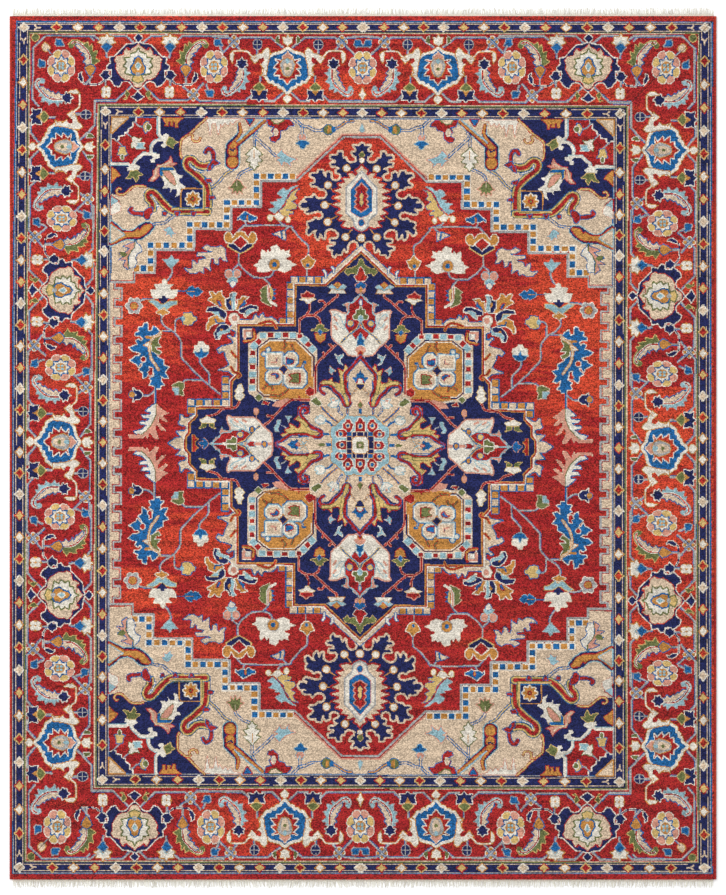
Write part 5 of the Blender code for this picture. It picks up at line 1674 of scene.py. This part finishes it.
def tubes(name, lines, radii, sides=STRAND_SIDES, flat=1.0):
    """Many tubes in one mesh. Lines are (tube, step, xyz) and radii are (tube, step)."""
    count, steps = lines.shape[:2]
    along = np.gradient(lines, axis=1)
    along /= np.linalg.norm(along, axis=2, keepdims=True) + 1e-12
    side = np.stack((along[..., 1], -along[..., 0], along[..., 2] * 0), -1)
    side /= np.linalg.norm(side, axis=2, keepdims=True) + 1e-12
    up = np.cross(side, along)
    angle = np.arange(sides) * 2 * pi / sides
    ring = side[..., None, :] * np.cos(angle)[:, None] + up[..., None, :] * (flat * np.sin(angle)[:, None])
    places = lines[..., None, :] + ring * radii[..., None, None]
    index = np.arange(count * steps * sides).reshape(count, steps, sides)
    after = np.roll(index, -1, axis=2)
    walls = np.stack((index[:, :-1], after[:, :-1], after[:, 1:], index[:, 1:]), -1).reshape(-1, 4)
    caps = np.concatenate((index[:, 0, ::-1], index[:, -1]), 0)
    loops = np.concatenate((walls.ravel(), caps.ravel()))
    sizes = np.concatenate((np.full(len(walls), 4), np.full(len(caps), sides)))
    mesh = fill_mesh(name, places.reshape(-1, 3), loops, sizes)
    tone = RANDOM.random(count)
    per_wall = np.repeat(tone, (steps - 1) * sides)
    face_values(mesh, "tone", np.concatenate((per_wall, tone, tone)))
    mesh.shade_smooth()
    return mesh


def make_fringe(side, sign, cotton):
    """The free warp ends: twisted cotton strands, each lying its own way."""
    low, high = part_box(f"fringe_{side}")
    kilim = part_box(f"kilim_end_{side}")
    root = kilim[1].y - 0.001 if sign > 0 else kilim[0].y + 0.001
    tip = high.y if sign > 0 else low.y
    count = round((high.x - low.x) / STRAND_PITCH)
    start = low.x + (np.arange(count) + 0.5) * (high.x - low.x) / count
    length = abs(tip - root) * RANDOM.uniform(0.72, 1.12, count)
    lean = RANDOM.normal(0, 0.0022, count) + 0.0018 * waves(start, start * 0, (0.4, 1.0), 21)
    bend = RANDOM.normal(0, 0.0012, count)
    step = np.linspace(0, 1, STRAND_STEPS)
    lines = np.empty((count, STRAND_STEPS, 3))
    lines[..., 0] = start[:, None] + lean[:, None] * step ** 1.5 + bend[:, None] * np.sin(pi * step)
    lines[..., 1] = root + sign * length[:, None] * step
    lines[..., 2] = high.z * (1 - 0.45 * step) * RANDOM.uniform(0.75, 1.15, count)[:, None]
    lines[..., 2] = np.maximum(lines[..., 2], STRAND_RADIUS)
    radii = STRAND_RADIUS * (1.15 - 0.45 * step) * RANDOM.uniform(0.8, 1.25, count)[:, None]
    mesh = tubes(f"fringe_{side}_strands", lines, radii)
    mesh.materials.append(cotton)
    return add_piece(f"fringe_{side}_strands", mesh, "cotton_natural", f"fringe_{side}")


def ribbed_box(name, low, high, across, along, height):
    """A closed flat band whose top follows height(x, y), with a grid of (across, along) cells."""
    xs = np.linspace(low.x, high.x, across + 1)
    ys = np.linspace(low.y, high.y, along + 1)
    x, y = np.meshgrid(xs, ys)
    top = np.stack((x, y, height(x, y)), -1)
    foot = top.copy()
    foot[..., 2] = low.z
    grid = np.arange((along + 1) * (across + 1)).reshape(along + 1, across + 1)
    under = grid + grid.size
    a, b, c, d = grid[:-1, :-1], grid[:-1, 1:], grid[1:, 1:], grid[1:, :-1]
    faces = [np.stack((a, b, c, d), -1).reshape(-1, 4)]
    faces.append(np.stack((d, c, b, a), -1).reshape(-1, 4) + grid.size)
    for edge, feet in ((grid[0], under[0]), (grid[:, -1], under[:, -1]),
                       (grid[-1, ::-1], under[-1, ::-1]), (grid[::-1, 0], under[::-1, 0])):
        faces.append(np.stack((edge[1:], edge[:-1], feet[:-1], feet[1:]), -1))
    faces = np.concatenate(faces)
    places = np.concatenate((top.reshape(-1, 3), foot.reshape(-1, 3)))
    mesh = fill_mesh(name, places, faces.ravel(), np.full(len(faces), 4))
    face_values(mesh, "tone", RANDOM.random(len(faces)))
    return mesh


def make_kilim(side, cotton):
    """The flat woven band: weft packed over ribs of warp."""
    low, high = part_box(f"kilim_end_{side}")
    rise = 0.0007

    def height(x, y):
        rib = np.abs(np.sin(pi * x / RIB_PITCH)) * rise
        weft = np.abs(np.sin(pi * (y - low.y) / 0.0020 + 0.5 * pi * np.floor(x / RIB_PITCH))) * rise / 2
        return high.z - rise + rib * 0.8 + weft * 0.5

    across = round((high.x - low.x) / RIB_PITCH * 3)
    mesh = ribbed_box(f"kilim_end_{side}_weave", low, high, across, 8, height)
    mesh.materials.append(cotton)
    return add_piece(f"kilim_end_{side}_weave", mesh, "cotton_natural", f"kilim_end_{side}")


def make_stitches(side, cotton):
    """The row of locking stitches along the kilim: slanted loops of cotton."""
    low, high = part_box(f"end_lock_stitch_{side}")
    count = round((high.x - low.x) / STITCH_PITCH)
    start = low.x + (np.arange(count) + 0.5) * (high.x - low.x) / count
    step = np.linspace(-1, 1, STRAND_STEPS)
    lines = np.empty((count, STRAND_STEPS, 3))
    lines[..., 0] = start[:, None] + 0.47 * STITCH_PITCH * step
    lines[..., 1] = (low.y + high.y) / 2 + 0.42 * (high.y - low.y) * step + RANDOM.normal(0, 0.0002,
            (count, 1))
    lines[..., 2] = low.z + (high.z - low.z) * (0.25 + 0.4 * np.cos(step * pi / 2))
    radii = np.full((count, STRAND_STEPS), (high.z - low.z) * 0.42) * (1.05 - 0.3 * step ** 2)
    mesh = tubes(f"end_lock_stitch_{side}_loops", lines, radii, 6)
    mesh.materials.append(cotton)
    return add_piece(f"end_lock_stitch_{side}_loops", mesh, "cotton_natural", f"end_lock_stitch_{side}")


def make_selvedge(side, wool):
    """A side cord overcast with wool: one crest for each slanting turn."""
    low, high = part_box(f"selvedge_wrap_{side}")
    radius = (high.x - low.x) / 2
    turns = round((high.y - low.y) / WRAP_PITCH)
    rings = turns * 3 + 1
    step = np.linspace(0, 1, rings)
    angle = np.arange(WRAP_SIDES) * 2 * pi / WRAP_SIDES
    slant = 0.5 * WRAP_PITCH * np.cos(angle)
    y = low.y + (high.y - low.y) * step[:, None] + slant * np.minimum(1, 8 * np.minimum(step, 1 - step))[:,
            None]
    crest = np.abs(np.sin(pi * step * turns))[:, None] ** 0.7
    lump = 0.10 * waves(step * (high.y - low.y), step * 0, (0.06, 1.0), 41)[:, None]
    reach = radius * (0.86 + 0.14 * crest + 0.04 * lump)
    x = (low.x + high.x) / 2 + reach * np.cos(angle)
    z = (low.z + high.z) / 2 + reach * np.sin(angle)
    places = np.stack((x, np.clip(y, low.y, high.y), z), -1).reshape(-1, 3)
    index = np.arange(rings * WRAP_SIDES).reshape(rings, WRAP_SIDES)
    after = np.roll(index, -1, axis=1)
    walls = np.stack((index[:-1], index[1:], after[1:], after[:-1]), -1).reshape(-1, 4)
    loops = np.concatenate((walls.ravel(), index[0], index[-1, ::-1]))
    sizes = np.concatenate((np.full(len(walls), 4), (WRAP_SIDES, WRAP_SIDES)))
    mesh = fill_mesh(f"selvedge_{side}_overcasting", places, loops, sizes)
    turn = np.repeat(np.arange(rings - 1) // 3, WRAP_SIDES)
    tone = np.clip(0.5 + 0.2 * RANDOM.standard_normal(turns), 0, 1)
    warm = np.clip(0.3 + 0.4 * waves(np.arange(turns) * WRAP_PITCH, np.zeros(turns), (0.5, 1.0), 42), 0, 1)
    face_values(mesh, "tone", np.concatenate((tone[turn], (0.5, 0.5))))
    face_values(mesh, "abrash", np.concatenate((warm[turn], (0.3, 0.3))))
    mesh.shade_smooth()
    mesh.materials.append(wool)
    return add_piece(f"selvedge_{side}_overcasting", mesh, "wool_red",
                     f"selvedge_wrap_{side}", f"selvedge_core_{side}")


def make_foundation(weave):
    """The ground weave: a flat cotton sheet."""
    low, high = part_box("woven_foundation")
    mesh = ribbed_box("ground_weave", low, high, 60, 72, lambda x, y: high.z + x * 0)
    mesh.materials.append(weave)
    return add_piece("ground_weave", mesh, "cotton_natural", "woven_foundation")


# ---- materials -------------------------------------------------------------------------------------
def linear(red, green, blue):
    """A colour given as 0 to 255 for the screen, as the shader's linear values."""
    parts = [value / 255 for value in (red, green, blue)]
    return tuple(part / 12.92 if part <= 0.04 else ((part + 0.055) / 1.055) ** 2.4
                 for part in parts) + (1.0,)


def blend_colours(tree, share, first, second, mode="MIX"):
    """A mix of two colours, each a socket or a plain colour."""
    mix = tree.nodes.new("ShaderNodeMix")
    mix.data_type = "RGBA"
    mix.blend_type = mode
    factor, a, b = mix.inputs[0], mix.inputs[6], mix.inputs[7]
    for socket, value in ((factor, share), (a, first), (b, second)):
        if isinstance(value, bpy.types.NodeSocket):
            tree.links.new(value, socket)
        else:
            socket.default_value = value
    return mix.outputs[2]


def value_of(tree, name):
    """A number stored on the faces."""
    attribute = tree.nodes.new("ShaderNodeAttribute")
    attribute.attribute_name = name
    return attribute.outputs["Fac"]


def noise(tree, scale, detail=2.0, stretch=(1.0, 1.0, 1.0)):
    """A noise texture in metres of the rug."""
    place = tree.nodes.new("ShaderNodeTexCoord")
    mapping = tree.nodes.new("ShaderNodeMapping")
    mapping.inputs["Scale"].default_value = stretch
    texture = tree.nodes.new("ShaderNodeTexNoise")
    texture.inputs["Scale"].default_value = scale
    texture.inputs["Detail"].default_value = detail
    tree.links.new(place.outputs["Object"], mapping.inputs["Vector"])
    tree.links.new(mapping.outputs["Vector"], texture.inputs["Vector"])
    return texture.outputs["Fac"]


def two_tones(colour, vary):
    """The darkest and lightest of a yarn, about its colour. The range also paints shade and highlights: the
    dark end for the shaded pits between knots, the slightly whitened light end for light off their tips.
    """
    middle = linear(*colour)
    dark = [part * (1 - vary) for part in middle[:3]]
    light = [min(0.92, part * (1 + 1.45 * vary) + 0.022 * vary) for part in middle[:3]]
    return (*dark, 1.0), (*light, 1.0)


def yarn(name, colour, vary, warm=None, sheen=0.12, roughness=0.95, bump=0.35):
    """Spun yarn: two tones, heathered fibres and a soft nap. The warm colour is where the dyeing ran to
    orange.
    """
    material = bpy.data.materials.new(name)
    material.use_nodes = True
    tree = material.node_tree
    shader = tree.nodes["Principled BSDF"]
    shader.inputs["Roughness"].default_value = roughness
    shader.inputs["Specular IOR Level"].default_value = 0.15
    shader.inputs["Sheen Weight"].default_value = sheen
    shader.inputs["Sheen Roughness"].default_value = 0.6
    tone = value_of(tree, "tone")
    colour = blend_colours(tree, tone, *two_tones(colour, vary))
    if warm:
        warm = blend_colours(tree, tone, *two_tones(warm, vary))
        colour = blend_colours(tree, value_of(tree, "abrash"), colour, warm)
    fibre = noise(tree, 900.0, 2.0, (1.0, 0.45, 1.0))
    ramp = tree.nodes.new("ShaderNodeValToRGB")
    ramp.color_ramp.elements[0].position = 0.3
    ramp.color_ramp.elements[0].color = (0.78, 0.78, 0.78, 1.0)
    ramp.color_ramp.elements[1].position = 0.7
    ramp.color_ramp.elements[1].color = (1.12, 1.12, 1.12, 1.0)
    tree.links.new(fibre, ramp.inputs["Fac"])
    colour = blend_colours(tree, 1.0, colour, ramp.outputs["Color"], "MULTIPLY")
    tree.links.new(colour, shader.inputs["Base Color"])
    relief = tree.nodes.new("ShaderNodeBump")
    relief.inputs["Strength"].default_value = bump
    relief.inputs["Distance"].default_value = 0.0006
    tree.links.new(noise(tree, 1400.0, 2.0), relief.inputs["Height"])
    tree.links.new(relief.outputs["Normal"], shader.inputs["Normal"])
    return material


WOOL = {
    # yarn: its colour and how much it varies from knot to knot
    "red": ((134, 8, 14), 0.70),
    "navy": ((6, 16, 68), 0.68),
    "blue": ((6, 80, 132), 0.60),
    "sky": ((130, 163, 171), 0.38),
    "mist": ((148, 147, 146), 0.44),
    "ivory": ((203, 196, 183), 0.36),
    "beige": ((194, 172, 147), 0.42),
    "gold": ((192, 162, 101), 0.32),
    "orange": ((172, 118, 54), 0.45),
    "olive": ((93, 99, 55), 0.50),
    "pink": ((188, 132, 113), 0.34),
    "moss": ((86, 90, 47), 0.50),
}
WARM_RED = (174, 54, 26)       # where the red dye runs to orange


def make_yarns():
    """One material for each yarn of the chart, in the chart's order."""
    warm = {"red": WARM_RED}
    return [yarn(f"wool_{name}", *WOOL[name], warm=warm.get(name)) for name in YARNS]


# ---- setting ---------------------------------------------------------------------------------------
VIEW_HEIGHT = 3.084            # metres of floor from the bottom to the top of the view
LENS = 85.0
SENSOR = 36.0


def make_camera(top):
    """A camera straight above the rug's middle."""
    data = bpy.data.cameras.new("camera")
    data.lens = LENS
    data.sensor_width = SENSOR
    camera = bpy.data.objects.new("camera", data)
    camera.location = (0.0, 0.001, top + VIEW_HEIGHT * LENS / SENSOR)
    bpy.context.scene.collection.objects.link(camera)
    bpy.context.scene.camera = camera


def make_light(name, place, size, power):
    """A square soft light that faces the rug's middle."""
    data = bpy.data.lights.new(name, "AREA")
    data.shape = "SQUARE"
    data.size = size
    data.energy = power
    light = bpy.data.objects.new(name, data)
    light.location = place
    direction = -light.location
    light.rotation_euler = direction.to_track_quat("-Z", "Y").to_euler()
    bpy.context.scene.collection.objects.link(light)


def make_floor():
    """A plain pale floor."""
    bpy.ops.mesh.primitive_plane_add(size=60.0, location=(0.0, 0.0, -0.0004))
    floor = bpy.context.object
    floor.name = "floor"
    material = bpy.data.materials.new("floor_paint")
    material.use_nodes = True
    shader = material.node_tree.nodes["Principled BSDF"]
    shader.inputs["Base Color"].default_value = (0.93, 0.93, 0.93, 1.0)
    shader.inputs["Roughness"].default_value = 0.95
    shader.inputs["Specular IOR Level"].default_value = 0.1
    floor.data.materials.append(material)


def make_setting():
    """Camera, floor and plain soft light."""
    make_camera(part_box("field_pile")[1].z)
    make_floor()
    make_light("key", (-3.0, 2.5, 7.0), 5.0, 420.0)
    world = bpy.data.worlds.new("studio")
    world.use_nodes = True
    world.node_tree.nodes["Background"].inputs["Color"].default_value = (1.0, 1.0, 1.0, 1.0)
    world.node_tree.nodes["Background"].inputs["Strength"].default_value = 0.75
    bpy.context.scene.world = world
    bpy.context.scene.view_settings.view_transform = "Standard"


# ---- the rug ---------------------------------------------------------------------------------------
chart = Chart()
draw(chart)
yarns = make_yarns()
cotton = yarn("cotton_ends", (228, 222, 208), 0.16, sheen=0.05, roughness=0.9)
weave = yarn("cotton_ground", (212, 203, 182), 0.14, sheen=0.05, roughness=0.9)
overcast = yarn("overcast_wool", (150, 28, 26), 0.40, warm=WARM_RED)
on_sheet = make_pile(chart, yarns)
for side, sign in (("top", 1), ("bottom", -1)):
    on_sheet.append(make_kilim(side, cotton))
    on_sheet.append(make_stitches(side, cotton))
    on_sheet.append(make_fringe(side, sign, cotton))


for side in ("left", "right"):
    on_sheet.append(make_selvedge(side, overcast))


ground = make_foundation(weave)


make_setting()
